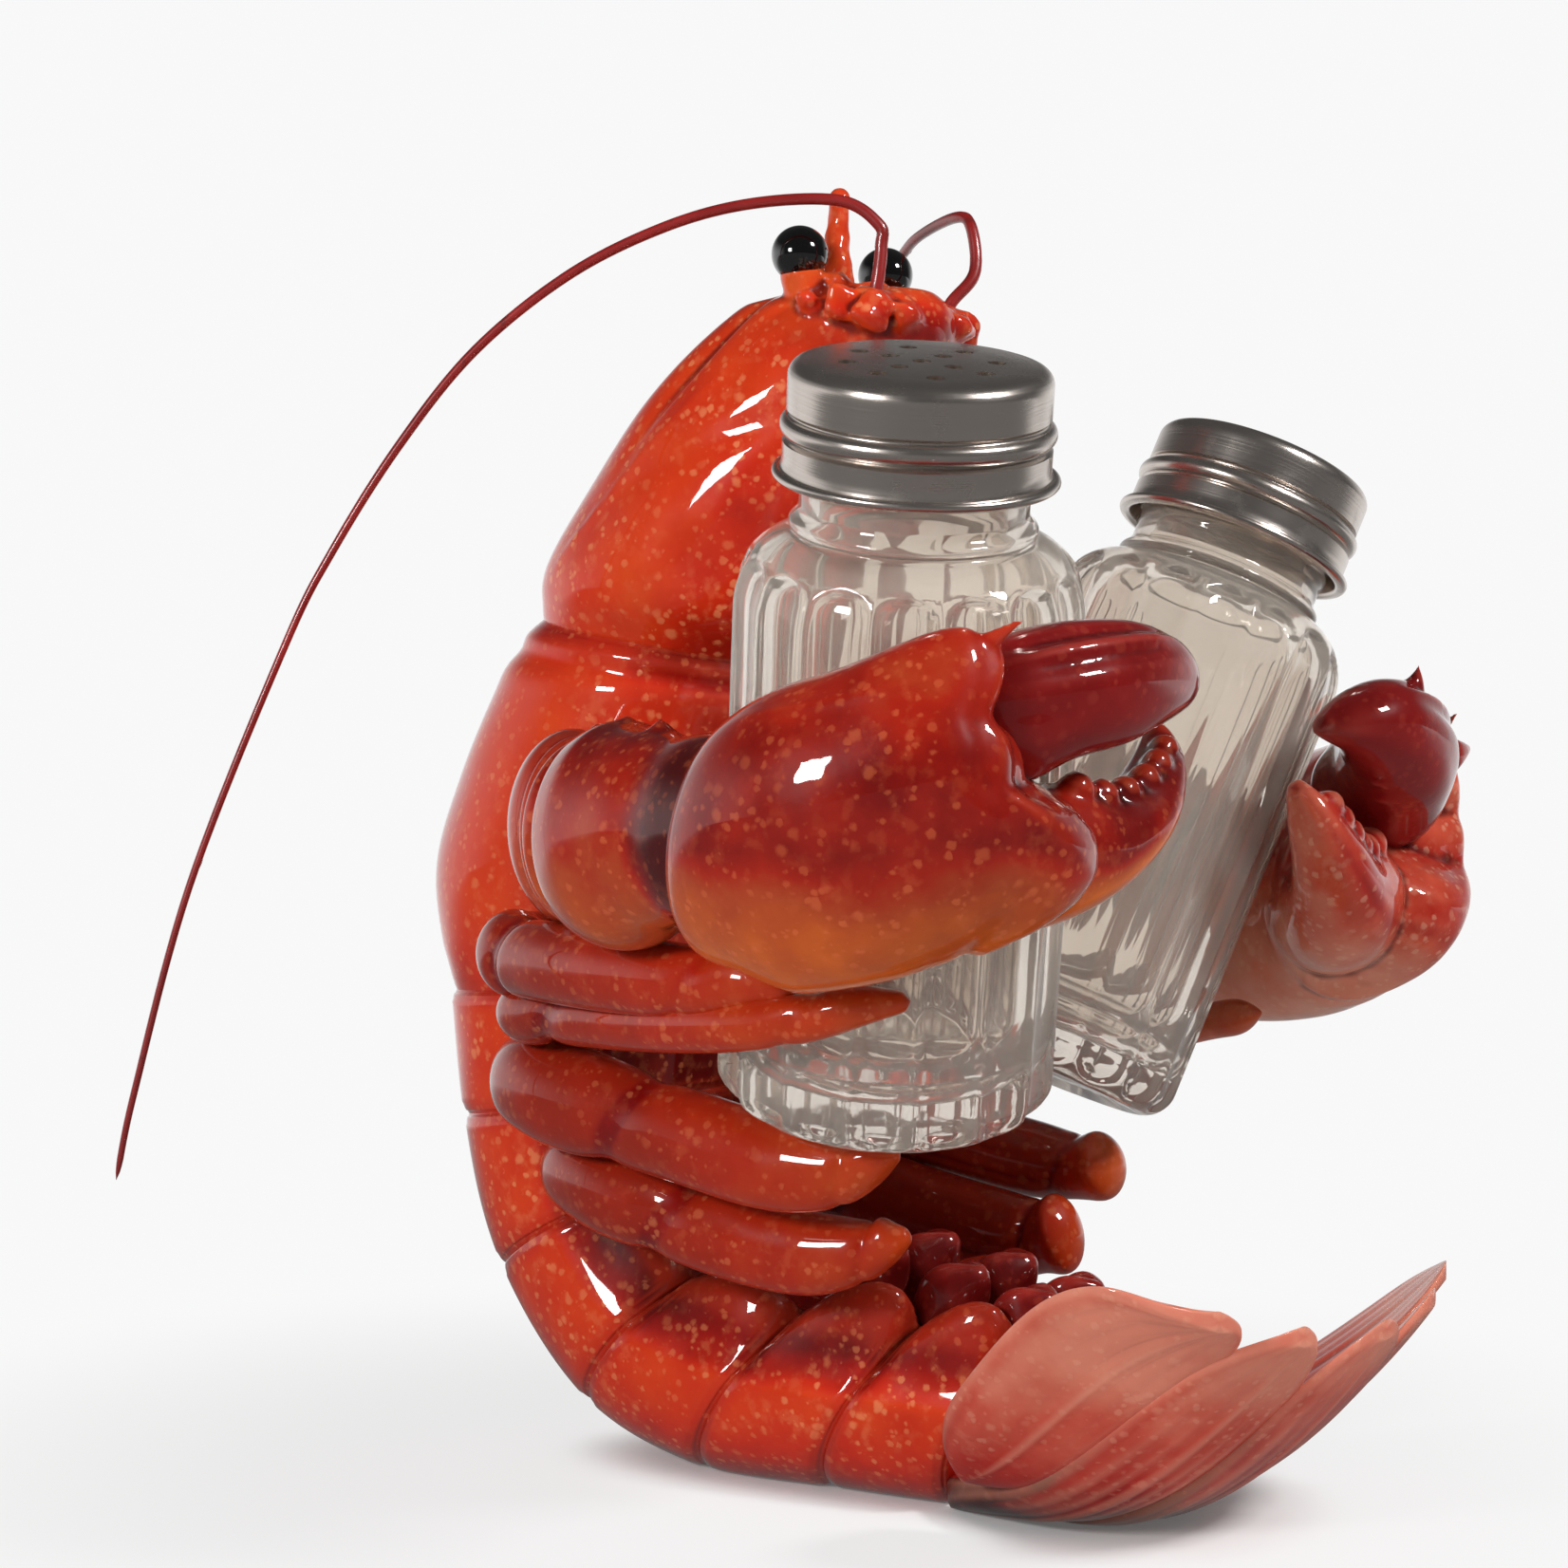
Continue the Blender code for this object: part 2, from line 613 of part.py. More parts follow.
def make_head(material, wire_bores, eyes):
    """Makes the front of the carapace with its rostrum, eye stalks and feeler sockets."""
    head = body_shell("carapace_front", HEAD_END, NECK_GROOVE, HEAD_STEPS, material)
    add(head, cone("rostrum", ROSTRUM_BASE, ROSTRUM_TIP, ROSTRUM_BASE_RADIUS, ROSTRUM_TIP_RADIUS, PEG_SIDES,
                   material))
    for side in SIDES:
        add(head, cone("eye_stalk", on_side(side, EYE_STALK_FOOT), on_side(side, EYE_PLACE),
                       EYE_STALK_RADIUS, EYE_STALK_TOP_RADIUS, PEG_SIDES, material))
        add(head, cone("feeler_socket", on_side(side, FEELER_SOCKET_FOOT), on_side(side, FEELER_SOCKET_TOP),
                       FEELER_SOCKET_FOOT_RADIUS, FEELER_SOCKET_RADIUS, PEG_SIDES, material))
    for bore in wire_bores:
        combine(head, bore, "DIFFERENCE")
    cut_clear(head, *eyes)
    return head


def feeler_bore(side, material):
    """Makes the hole that a feeler is pushed into."""
    top = on_side(side, FEELER_SOCKET_TOP)
    run = (top - on_side(side, FEELER_SOCKET_FOOT)).normalized()
    return cone("feeler_bore_" + side, top - run * FEELER_HOLE_DEPTH, top + run * FEELER_HOLE_DEPTH,
                FEELER_RADIUS + SEAT_GAP, FEELER_RADIUS + SEAT_GAP, PEG_SIDES, material)


def make_feeler(side, route, material):
    """Bends a long tapered wire from its hole in the head, up and back over the body."""
    top = on_side(side, FEELER_SOCKET_TOP)
    run = (top - on_side(side, FEELER_SOCKET_FOOT)).normalized()
    start = top - run * (FEELER_HOLE_DEPTH - SEAT_GAP)
    points = smooth([tuple(start), tuple(top)] + list(route), FEELER_POINTS)
    rings = []
    for k, point in enumerate(points):
        heading = Vector(points[min(k + 1, FEELER_POINTS - 1)] - points[max(k - 1, 0)])
        turn = heading.to_track_quat("Z", "Y").to_matrix()
        radius = FEELER_RADIUS + (FEELER_TIP_RADIUS - FEELER_RADIUS) * k / (FEELER_POINTS - 1)
        rings.append([Vector(point) + turn @ corner for corner in ring_of_circle(radius, 0, FEELER_SIDES)])
    return loft("feeler_" + side, rings, material)


def claw_rows(side, stations):
    """Adds the claw's own height on the jar and turns stand-off into distance from the jar's axis."""
    rows = []
    bulk = CLAW_BULK[side]
    for angle, height, half_height, half_thick, stand_off in stations:
        distance = JAR_RADIUS + JAR_CLEARANCE + stand_off + half_thick * bulk
        rows.append((angle, height - CLAW_DROP[side], half_height * bulk, half_thick * bulk, distance))
    return rows


def finger_rows(side):
    """Opens the moving-finger casting from its root towards its tip."""
    first, last = CLAW_FINGER[0][0], CLAW_FINGER[-1][0]
    return [(angle, height + FINGER_GAPE[side] * (angle - first) / (last - first), *rest)
            for angle, height, *rest in CLAW_FINGER]


def claw_loft(name, side, stations, count, material):
    """Lofts a claw round its jar."""
    rings = []
    for angle, height, half_height, half_thick, distance in smooth(claw_rows(side, stations), count):
        ring = []
        for i in range(CLAW_SIDES):
            turn = 2 * pi * i / CLAW_SIDES
            ring.append(round_jar(side, angle, height + half_height * sin(turn),
                                  distance + half_thick * cos(turn)))
        rings.append(ring)
    return loft(name, rings, material)


def make_palm(side, material):
    """Makes the claw's palm with its fixed finger, ball teeth and thorn."""
    palm = claw_loft("claw_palm_" + side, side, CLAW_PALM, PALM_RINGS, material)
    rows = smooth(claw_rows(side, CLAW_PALM), CLAW_SAMPLES)
    for angle in TOOTH_ANGLES:
        _, height, half_height, _, distance = min(rows, key=lambda row: abs(row[0] - angle))
        centre = round_jar(side, angle, height + half_height, distance)
        add(palm, ball("tooth", centre, TOOTH_RADIUS, TOOTH_SEGMENTS, TOOTH_RINGS, material))
    _, height, half_height, half_thick, distance = min(rows, key=lambda row: abs(row[0] - PALM_THORN_ANGLE))
    up, out = sin(radians(PALM_THORN_TURN)), cos(radians(PALM_THORN_TURN))
    root = round_jar(side, PALM_THORN_ANGLE, height + (half_height - THORN_ROOT) * up,
                     distance + (half_thick - THORN_ROOT) * out)
    point = round_jar(side, PALM_THORN_ANGLE + THORN_SWEEP, height + (half_height + THORN_LENGTH) * up,
                      distance + (half_thick + THORN_LENGTH) * out)
    add(palm, cone("thorn", root, point, THORN_RADIUS, THORN_POINT, THORN_SIDES, material))
    return palm


def limb_rows(side, stations, drop=0.0):
    """Places a limb's stations on one side, kept clear of the jar there."""
    rows = []
    for station in stations:
        place = on_side(side, station) - Vector((0, 0, drop))
        place = clear_of_jar(side, place, station[3])
        rows.append((*place, station[3], station[-1]))
    return rows


def make_wrist(side, material):
    """Makes the wrist from the elbow to where the claw starts, with a row of thorns on top."""
    angle, height, _, _, distance = claw_rows(side, CLAW_PALM)[0]
    end = round_jar(side, angle, height, distance)
    rows = limb_rows(side, WRIST) + [(*end, WRIST_END_WIDTH, WRIST_END_HEIGHT)]
    wrist = tube("wrist_" + side, rows, WRIST_RINGS, WRIST_SIDES, material)
    for x, y, z, _, half_height in rows[1:-1]:
        root = (x, y, z + half_height - THORN_ROOT)
        point = (x, y, z + half_height + WRIST_THORN_LENGTH)
        add(wrist, cone("thorn", root, point, THORN_RADIUS, THORN_POINT, THORN_SIDES, material))
    return wrist


def fan_share(distance):
    """Gives how far out along the fan a distance lies, from 0 at its root to 1 at its rim."""
    return (distance - FAN_START) / (FAN_REACH - FAN_START)


def fan_height(across, distance):
    """Gives the height of the fan's middle surface: level, then curling up, and cupped from side to side."""
    curl = max(0.0, (distance - FAN_BEND) / (FAN_REACH - FAN_BEND)) ** FAN_CURL
    radius = FAN_CUP_RADIUS["right" if across < 0 else "left"]
    cup = max(0.0, abs(across) - FAN_FLAT) ** 2 / (2 * radius) * (1 - FAN_CUP_FADE * fan_share(distance) ** 5)
    return FAN_THICKNESS / 2 - FAN_SINK + FAN_RIM * curl + cup


def make_blade(name, blade, mirror, material):
    """Lofts one blade of the tail fan, rounded at its root and its tip."""
    start, middle, half_angle = blade
    rings = []
    for step in BLADE_STEPS:
        towards_end = max(0.0, (BLADE_ROOT - step) / BLADE_ROOT, (step - BLADE_ROUND) / (1 - BLADE_ROUND))
        spread = sqrt(1 - (BLADE_END * towards_end) ** 2)
        distance = start + step * (FAN_REACH - start)
        closing = 1 - FAN_CLOSE * fan_share(distance) ** 3
        thick = FAN_THICKNESS * (1 - FAN_THINNING * fan_share(distance))
        ring = []
        for i in range(BLADE_SIDES):
            turn = 2 * pi * i / BLADE_SIDES
            angle = radians(mirror * (middle + half_angle * spread * cos(turn)) * closing)
            across = distance * sin(angle)
            side = copysign(abs(sin(turn)) ** BLADE_SQUARE, sin(turn)) / 2
            height = fan_height(across, distance) + thick * side
            ring.append(Vector((across, -distance * cos(angle), max(height, 0.0))))
        rings.append(ring)
    return loft(name, rings, material)


def main():
    clear_scene()
    shell = finish("orange_red_resin", (0.62, 0.075, 0.012), 0.18)
    claw = finish("dark_red_resin", (0.45, 0.03, 0.012), 0.15)
    leg = finish("orange_resin", (0.62, 0.11, 0.02), 0.2)
    fan = finish("pink_resin", (0.55, 0.2, 0.14), 0.3)
    maroon = finish("maroon_resin", (0.16, 0.012, 0.01), 0.2)
    bead = finish("black_bead", (0.006, 0.006, 0.006), 0.06)
    wire = finish("painted_wire", (0.24, 0.018, 0.014), 0.35)
    glass = finish("clear_glass", (0.93, 0.93, 0.91), 0.02)
    steel = finish("spun_steel", (0.62, 0.61, 0.6), 0.28, 1.0)

    eyes = [ball("eye_" + side, on_side(side, EYE_PLACE), EYE_RADIUS, EYE_SEGMENTS, EYE_RINGS, bead)
            for side in SIDES]
    bores = [feeler_bore(side, wire) for side in SIDES]
    head = make_head(shell, bores, eyes)
    make_feeler("right", RIGHT_FEELER, wire)
    make_feeler("left", LEFT_FEELER, wire)

    rear = body_shell("carapace_rear", NECK_GROOVE, WAIST_GROOVE, CARAPACE_STEPS, shell)
    segments = []
    for k, flap in enumerate(SIDE_FLAPS):
        first = WAIST_GROOVE + k
        segments.append(body_shell(f"tail_segment_{k + 1}", first, first + 1, TAIL_STEPS, shell, flap))

    for side in SIDES:
        jar = make_jar(side, glass)
        make_cap(side, jar, steel)
        arm = tube("arm_" + side, limb_rows(side, ARM), ARM_RINGS, LIMB_SIDES, claw)
        cut_clear(arm, head, rear)
        wrist = make_wrist(side, claw)
        cut_clear(wrist, arm)
        palm = make_palm(side, claw)
        cut_clear(palm, wrist)
        finger = claw_loft("claw_finger_" + side, side, finger_rows(side), FINGER_RINGS, claw)
        cut_clear(finger, palm)
        for k, stations in enumerate(LEGS):
            rows = limb_rows(side, stations, LEG_DROPS[side][k])
            limb = tube(f"leg_{side}_{k + 1}", rows, LEG_RINGS, LIMB_SIDES, leg)
            cut_clear(limb, rear, *segments[:3])
        for k, stations in enumerate(SWIMMERETS):
            paddle = tube(f"swimmeret_{side}_{k + 1}", limb_rows(side, stations), PADDLE_RINGS, PADDLE_SIDES,
                          maroon)
            cut_clear(paddle, *segments[3:])

    blades = [make_blade("telson", TELSON, 1, fan)]
    for side, mirror in SIDES.items():
        blades.append(make_blade("inner_blade_" + side, INNER_BLADE, mirror, fan))
        blades.append(make_blade("outer_blade_" + side, OUTER_BLADE, mirror, fan))
    for blade in blades:
        cut_clear(blade, segments[-1])


main()
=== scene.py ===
# %% [markdown]
# # A resin lobster with two glass shakers
# The solids of this part are already in place: a lobster in 35 castings with bead eyes and wire feelers, two jars
# and two screw caps. This lesson gives every one of them its finished form and its paint. No solid is moved: each
# piece is made from nearly the same stations as its solid, only finer, and then stands in for it.

from math import cos, pi, radians, sin, sqrt, tan

import bmesh
import bpy
import numpy as np
from mathutils import Matrix, Vector


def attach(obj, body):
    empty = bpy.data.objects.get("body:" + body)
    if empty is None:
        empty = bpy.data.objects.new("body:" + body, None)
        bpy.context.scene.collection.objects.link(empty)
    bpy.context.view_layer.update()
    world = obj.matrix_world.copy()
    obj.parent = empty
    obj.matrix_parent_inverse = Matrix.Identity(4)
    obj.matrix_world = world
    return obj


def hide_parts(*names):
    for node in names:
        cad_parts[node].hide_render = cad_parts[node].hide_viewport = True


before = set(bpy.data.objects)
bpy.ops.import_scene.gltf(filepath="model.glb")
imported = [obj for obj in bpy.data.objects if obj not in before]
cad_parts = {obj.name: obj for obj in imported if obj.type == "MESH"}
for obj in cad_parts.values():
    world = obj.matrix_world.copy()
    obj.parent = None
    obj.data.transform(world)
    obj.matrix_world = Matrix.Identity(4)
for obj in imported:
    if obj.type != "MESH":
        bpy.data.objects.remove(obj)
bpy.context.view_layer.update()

# %% [markdown]
# ## The camera
# The lobster is seen from its right side and a little from the front, level with the middle of its body. A long
# lens from 40 cm away keeps the near claw from looking too large.

# %% Camera
VIEW_DISTANCE = 0.400
VIEW_HEIGHT = 0.088
VIEW_TURN = radians(55)
LENS = 70.8
toward = Vector((sin(VIEW_TURN), cos(VIEW_TURN), 0))
beside = Vector((toward.y, -toward.x, 0))


def put(name, data):
    """Adds an object to the scene."""
    obj = bpy.data.objects.new(name, data)
    bpy.context.scene.collection.objects.link(obj)
    return obj


camera = put("camera", bpy.data.cameras.new("camera"))
camera.data.lens = LENS
camera.data.sensor_width = 36
camera.location = -toward * VIEW_DISTANCE + Vector((0, 0, VIEW_HEIGHT))
camera.rotation_euler = toward.to_track_quat("-Z", "Y").to_euler()
bpy.context.scene.camera = camera
bpy.context.scene.view_settings.view_transform = "Standard"
print("camera at", [round(value, 3) for value in camera.location])

# %% [markdown]
# ## Shader sums
# A finish is a sum of many masks. Written node by node it is hard to read, so one small class wraps a socket and
# turns Python's own operators into Math nodes. A second class holds the node tree and makes any other node.

# %% Sockets that add up
class Wire:
    """One output socket, written in sums as if it were a number."""

    def __init__(self, graph, socket):
        self.graph, self.socket = graph, socket

    def maths(self, operation, first, second):
        return self.graph.node("ShaderNodeMath", {"operation": operation}, {0: first, 1: second})

    def __add__(self, other):
        return self.maths("ADD", self, other)

    def __radd__(self, other):
        return self.maths("ADD", other, self)

    def __sub__(self, other):
        return self.maths("SUBTRACT", self, other)

    def __rsub__(self, other):
        return self.maths("SUBTRACT", other, self)

    def __mul__(self, other):
        return self.maths("MULTIPLY", self, other)

    def __rmul__(self, other):
        return self.maths("MULTIPLY", other, self)

    def most(self, other):
        return self.maths("MAXIMUM", self, other)

    def ease(self, low, high):
        """Rises smoothly from 0 at low to 1 at high."""
        return self.graph.node("ShaderNodeMapRange", {"interpolation_type": "SMOOTHSTEP"},
                               {"Value": self, "From Min": low, "From Max": high})

    def twin(self, output):
        """Gives another output of the same node."""
        return Wire(self.graph, self.socket.node.outputs[output])


class Graph:
    """The nodes of one finish, with its shader ready to be fed."""

    def __init__(self, owner, shader):
        owner.use_nodes = True
        self.owner = owner
        self.tree = owner.node_tree
        self.shader = self.tree.nodes[shader]

    def feed(self, socket, value):
        """Links a wire to a socket, or sets the socket to a plain value."""
        if isinstance(value, Wire):
            self.tree.links.new(value.socket, socket)
        else:
            socket.default_value = value

    def node(self, kind, settings=None, inputs=None, output=0):
        """Makes any node from its type, its settings and its inputs."""
        node = self.tree.nodes.new(kind)
        for key, value in (settings or {}).items():
            if key == "stops":
                self.set_stops(node.color_ramp.elements, value)
            else:
                setattr(node, key, value)
        for key, value in (inputs or {}).items():
            self.feed(node.inputs[key], value)
        return Wire(self, node.outputs[output])

    def set_stops(self, elements, stops):
        elements[0].position, elements[1].position = stops[0][0], stops[-1][0]
        for place, colour in stops[1:-1]:
            elements.new(place).color = colour
        elements[0].color, elements[-1].color = stops[0][1], stops[-1][1]

    def paint(self, **values):
        """Feeds the shader's own sockets, with underscores for their spaces."""
        for name, value in values.items():
            self.feed(self.shader.inputs[name.replace("_", " ")], value)

    def noise(self, place, scale, detail=3.0, output="Fac"):
        return self.node("ShaderNodeTexNoise", None, {"Vector": place, "Scale": scale, "Detail": detail}, output)

    def mix(self, factor, first, second):
        return self.node("ShaderNodeMix", {"data_type": "RGBA"}, {0: factor, 6: first, 7: second}, output=2)

    def bump(self, height, strength, distance):
        return self.node("ShaderNodeBump", None, {"Strength": strength, "Distance": distance, "Height": height})


def new_finish(name):
    """Starts a finish, and gives its nodes and the wire that tells each spot's place on its piece."""
    graph = Graph(bpy.data.materials.new(name), "Principled BSDF")
    return graph, graph.node("ShaderNodeTexCoord", output="Object")


def chip(red, green, blue):
    """Turns a paint chip's screen colour into the linear colour that shaders use."""
    linear = [((value / 255 + 0.055) / 1.055) ** 2.4 if value > 10 else value / 255 / 12.92
              for value in (red, green, blue)]
    return (*linear, 1.0)


print("white chip:", chip(255, 255, 255))

# %% [markdown]
# ## Studio
# A product table is white, and the room in front of it is dim. The world and the floor show white to the camera and
# through glass. Gloss sees the white backdrop behind the object, but the dim room on the camera's side and overhead,
# which keeps the paint deep and the steel's tops dark. The floor keeps some of its own shading near the object, so
# the contact shadow stays.

# %% World and floor
PAPER_WHITE = 0.94
ROOM_LIGHT = 0.22
ROOM_GLOSS = 0.05
FLOOR_GLOSS = 0.16
FLOOR_BOUNCE = 0.75
FLOOR_HALF = 2.5
FLOOR_DROP = 0.0002
FLOOR_SHADE = 0.22
SHADE_FADES = (0.05, 0.16)
CONTACT_REACH = 0.016
CONTACT_SHADE = 0.9
CONTACT_EDGE = (0.30, 0.85)
CARD_AHEAD, CARD_ASIDE = 0.92, 0.39
CARD_EDGE = (-0.15, 0.55)
CARD_TOP = (0.10, 0.55)
CARD_ON_FLOOR = (0.05, 0.50)

world = bpy.data.worlds.new("studio")
bpy.context.scene.world = world
room = Graph(world, "Background")
heading = room.node("ShaderNodeTexCoord", output="Generated")
card = (toward * CARD_AHEAD - beside * CARD_ASIDE).normalized()
facing = room.node("ShaderNodeVectorMath", {"operation": "DOT_PRODUCT"}, {0: heading, 1: card}, output="Value")
height = room.node("ShaderNodeSeparateXYZ", None, {0: heading}, output="Z")
backdrop = facing.ease(*CARD_EDGE) * (1 - height.ease(*CARD_TOP))
ray = room.node("ShaderNodeLightPath", output="Is Camera Ray")
direct = ray.most(ray.twin("Is Transmission Ray"))
mirror = ray.twin("Is Glossy Ray") * (1 - direct)
plain = (1 - direct) * (1 - mirror)
mirrored_room = ROOM_GLOSS + backdrop * (PAPER_WHITE - ROOM_GLOSS)
room.paint(Color=(1, 1, 1, 1), Strength=direct * PAPER_WHITE + mirror * mirrored_room + plain * ROOM_LIGHT)

floor_mesh = bpy.data.meshes.new("floor")
corners = [(x * FLOOR_HALF, y * FLOOR_HALF, -FLOOR_DROP) for x, y in ((-1, -1), (1, -1), (1, 1), (-1, 1))]
floor_mesh.from_pydata(corners, [], [(0, 1, 2, 3)])
floor = put("floor", floor_mesh)

sheet, place = new_finish("white_paper")
away = sheet.node("ShaderNodeVectorMath", {"operation": "LENGTH"}, {0: place}, output="Value")
glow = sheet.node("ShaderNodeEmission", None, {"Color": (1, 1, 1, 1), "Strength": PAPER_WHITE})
behind = sheet.node("ShaderNodeVectorMath", {"operation": "DOT_PRODUCT"}, {0: place, 1: toward}, output="Value")
mirrored_floor = FLOOR_GLOSS + behind.ease(*CARD_ON_FLOOR) * (PAPER_WHITE - FLOOR_GLOSS)
dim = sheet.node("ShaderNodeEmission", None, {"Color": (1, 1, 1, 1), "Strength": mirrored_floor})
ray = sheet.node("ShaderNodeLightPath", output="Is Camera Ray")
direct = ray.most(ray.twin("Is Transmission Ray"))
tone = FLOOR_BOUNCE + direct * (PAPER_WHITE - FLOOR_BOUNCE)
sheet.paint(Base_Color=sheet.node("ShaderNodeCombineColor", None, {0: tone, 1: tone, 2: tone}), Roughness=0.9)
contact = 1 - sheet.node("ShaderNodeAmbientOcclusion", {"samples": 12}, {"Distance": CONTACT_REACH}, "AO")
shade = ((1 - away.ease(*SHADE_FADES)) * FLOOR_SHADE).most(contact.ease(*CONTACT_EDGE) * CONTACT_SHADE)
shown = sheet.node("ShaderNodeMixShader", None, {0: direct * (1 - shade), 2: glow})
sheet.tree.links.new(sheet.shader.outputs[0], shown.socket.node.inputs[1])
shown = sheet.node("ShaderNodeMixShader", None, {0: ray.twin("Is Glossy Ray") * (1 - direct), 1: shown, 2: dim})
sheet.feed(sheet.tree.nodes["Material Output"].inputs["Surface"], shown)
floor_mesh.materials.append(sheet.owner)
print("floor half width:", FLOOR_HALF)

# %% [markdown]
# ## Lamps
# Gloss shows the lamps themselves. One soft box stands above the camera's left shoulder and makes the large window
# on each rounded shell, and a smaller one on the right lights the far claw and the fan.

# %% Soft boxes
OBJECT_MIDDLE = Vector((0, -0.015, 0.080))
SOFT_BOXES = {
    "key_box": ((-0.40, -0.46, 0.18), (0.12, 0.12), 2.0),
    "side_box": ((0.36, -0.24, 0.34), (0.10, 0.10), 2.0),
}
for name, ((aside, ahead, above), (width, tall), power) in SOFT_BOXES.items():
    lamp = bpy.data.lights.new(name, "AREA")
    lamp.shape = "RECTANGLE"
    lamp.size, lamp.size_y, lamp.energy = width, tall, power
    box = put(name, lamp)
    box.location = OBJECT_MIDDLE + beside * aside + toward * ahead + Vector((0, 0, above))
    box.rotation_euler = (OBJECT_MIDDLE - box.location).to_track_quat("-Z", "Y").to_euler()
print("lamps:", list(SOFT_BOXES))

# %% [markdown]
# ## Skins
# Nearly every casting is a row of rings with a skin over it, like a boat's hull over its frames. Where several
# skins meet in one casting, a voxel remesh melts them together with the soft inner corners of a real mould.

# %% Curves and skins
NEARLY_UP = (0.01, 0, 1)


def ramp(value, start, span):
    """Runs from 0 at a start to 1 a span further on, which is backwards where the span is negative."""
    return np.clip((value - start) / span, 0, 1)


def full_turn(sides):
    """Lists the angles of evenly spread points round a ring."""
    return 2 * pi * np.arange(sides) / sides


def soft_steps(count):
    """Steps from 0 to 1 that crowd together at both ends, where shells curve most."""
    return 0.5 - 0.5 * np.cos(np.linspace(0, pi, count))


def through(stations, count):
    """Samples a smooth curve through every station, a row of numbers each."""
    rows = np.array(stations, float)
    rows = np.vstack([2 * rows[0] - rows[1], rows, 2 * rows[-1] - rows[-2]])
    places = np.linspace(0, len(stations) - 1, count)
    k = np.minimum(places.astype(int), len(stations) - 2)
    t = (places - k)[:, None]
    before, start, end, after = (rows[k + i] for i in range(4))
    bend = 2 * before - 5 * start + 4 * end - after
    twist = 3 * start - before - 3 * end + after
    return start + t / 2 * (end - before + t * (bend + t * twist))


def skin(rings):
    """Covers rings of points and closes both ends."""
    rings = np.asarray(rings, float)
    count, sides = rings.shape[:2]
    points = np.vstack([rings.reshape(-1, 3), rings[0].mean(axis=0), rings[-1].mean(axis=0)])
    here = np.arange(sides)
    after = (here + 1) % sides
    faces = []
    for k in range(count - 1):
        near, far = k * sides, (k + 1) * sides
        faces += np.stack([near + here, near + after, far + after, far + here], axis=1).tolist()
    last = (count - 1) * sides
    faces += np.stack([after, here, np.full(sides, count * sides)], axis=1).tolist()
    faces += np.stack([last + here, last + after, np.full(sides, count * sides + 1)], axis=1).tolist()
    return points, faces


def frames_along(points):
    """Gives a sideways and an upward direction at every point of a path, also of one that runs straight up."""
    run = np.gradient(points, axis=0)
    run /= np.linalg.norm(run, axis=1)[:, None]
    aside = np.cross(run, NEARLY_UP)
    aside /= np.linalg.norm(aside, axis=1)[:, None]
    return aside, np.cross(aside, run)


def rod(stations, count=24, sides=16, relief=None, dome=0.01):
    """Skins a limb along stations of x, y, z, half width and half height, and rounds its far end."""
    rows = through(stations, count)
    aside, upward = frames_along(rows[:, :3])
    turn = full_turn(sides)
    share = np.linspace(0, 1, count)[:, None]
    lift = relief(share, turn) if relief else np.zeros((count, sides))
    shrink = np.sqrt(1 - 0.98 * np.clip((share - 1 + dome) / dome, 0, 1) ** 2)
    across = ((rows[:, 3:4] + lift) * shrink * np.cos(turn))[..., None] * aside[:, None]
    rise = ((rows[:, 4:5] + lift) * shrink * np.sin(turn))[..., None] * upward[:, None]
    return skin(rows[:, None, :3] + across + rise)


def bead(centre, radius, sides=20):
    """Skins a ball that is a little flattened at its poles, where its skin closes."""
    swing = np.linspace(-0.49 * pi, 0.49 * pi, sides // 2 + 3)
    turn = full_turn(sides)
    rings = np.stack([np.outer(np.cos(swing), np.cos(turn)), np.outer(np.cos(swing), np.sin(turn)),
                      np.repeat(np.sin(swing)[:, None], sides, axis=1)], axis=2)
    return skin(np.asarray(centre) + radius * rings)


print("a bead has", len(bead((0, 0, 0), 1)[1]), "faces")

# %% [markdown]
# ## Pieces
# A piece takes the place of one solid. Its paint needs to know where grooves and ridges are, because dark paint and
# painted shade gather in the grooves and a painted highlight goes on the ridges: a copy of the surface is relaxed,
# and where the copy lies above the surface there is a groove.

# %% From skins to pieces
CREASE_DEPTH = 0.00022
CREASE_ROUNDS = 10
MELT_VOXEL = 0.00042
MELT_ROUNDS = 3


def relaxed(points, edges, rounds):
    """Moves every point to the middle of its neighbours, a number of times."""
    first, second = np.concatenate([edges, edges[:, ::-1]]).T
    count = np.bincount(first, minlength=len(points))[:, None]
    for _ in range(rounds):
        points = np.stack([np.bincount(first, points[second, axis], len(points)) for axis in range(3)], axis=1)
        points = points / count
    return points


def numbers(collection, name, width):
    """Reads one property of many mesh parts as an array."""
    values = np.empty(len(collection) * width, np.int32 if name == "vertices" else np.float32)
    collection.foreach_get(name, values)
    return values.reshape(-1, width).astype(int if name == "vertices" else float)


def merged(name, solids):
    """Puts several closed skins into one mesh."""
    points, faces = [], []
    for skin_points, skin_faces in solids:
        start = sum(map(len, points))
        points.append(np.asarray(skin_points))
        faces += [[corner + start for corner in face] for face in skin_faces]
    mesh = bpy.data.meshes.new(name)
    mesh.from_pydata(np.vstack(points).tolist(), [], faces)
    return mesh


def melt_skins(obj):
    """Melts overlapping skins into one and softens the result."""
    remesh = obj.modifiers.new("melt", "REMESH")
    remesh.mode = "VOXEL"
    remesh.voxel_size = MELT_VOXEL
    mesh = bpy.data.meshes.new_from_object(obj.evaluated_get(bpy.context.evaluated_depsgraph_get()))
    obj.modifiers.clear()
    obj.data = mesh
    points = relaxed(numbers(mesh.vertices, "co", 3), numbers(mesh.edges, "vertices", 2), MELT_ROUNDS)
    mesh.vertices.foreach_set("co", points.astype(np.float32).ravel())


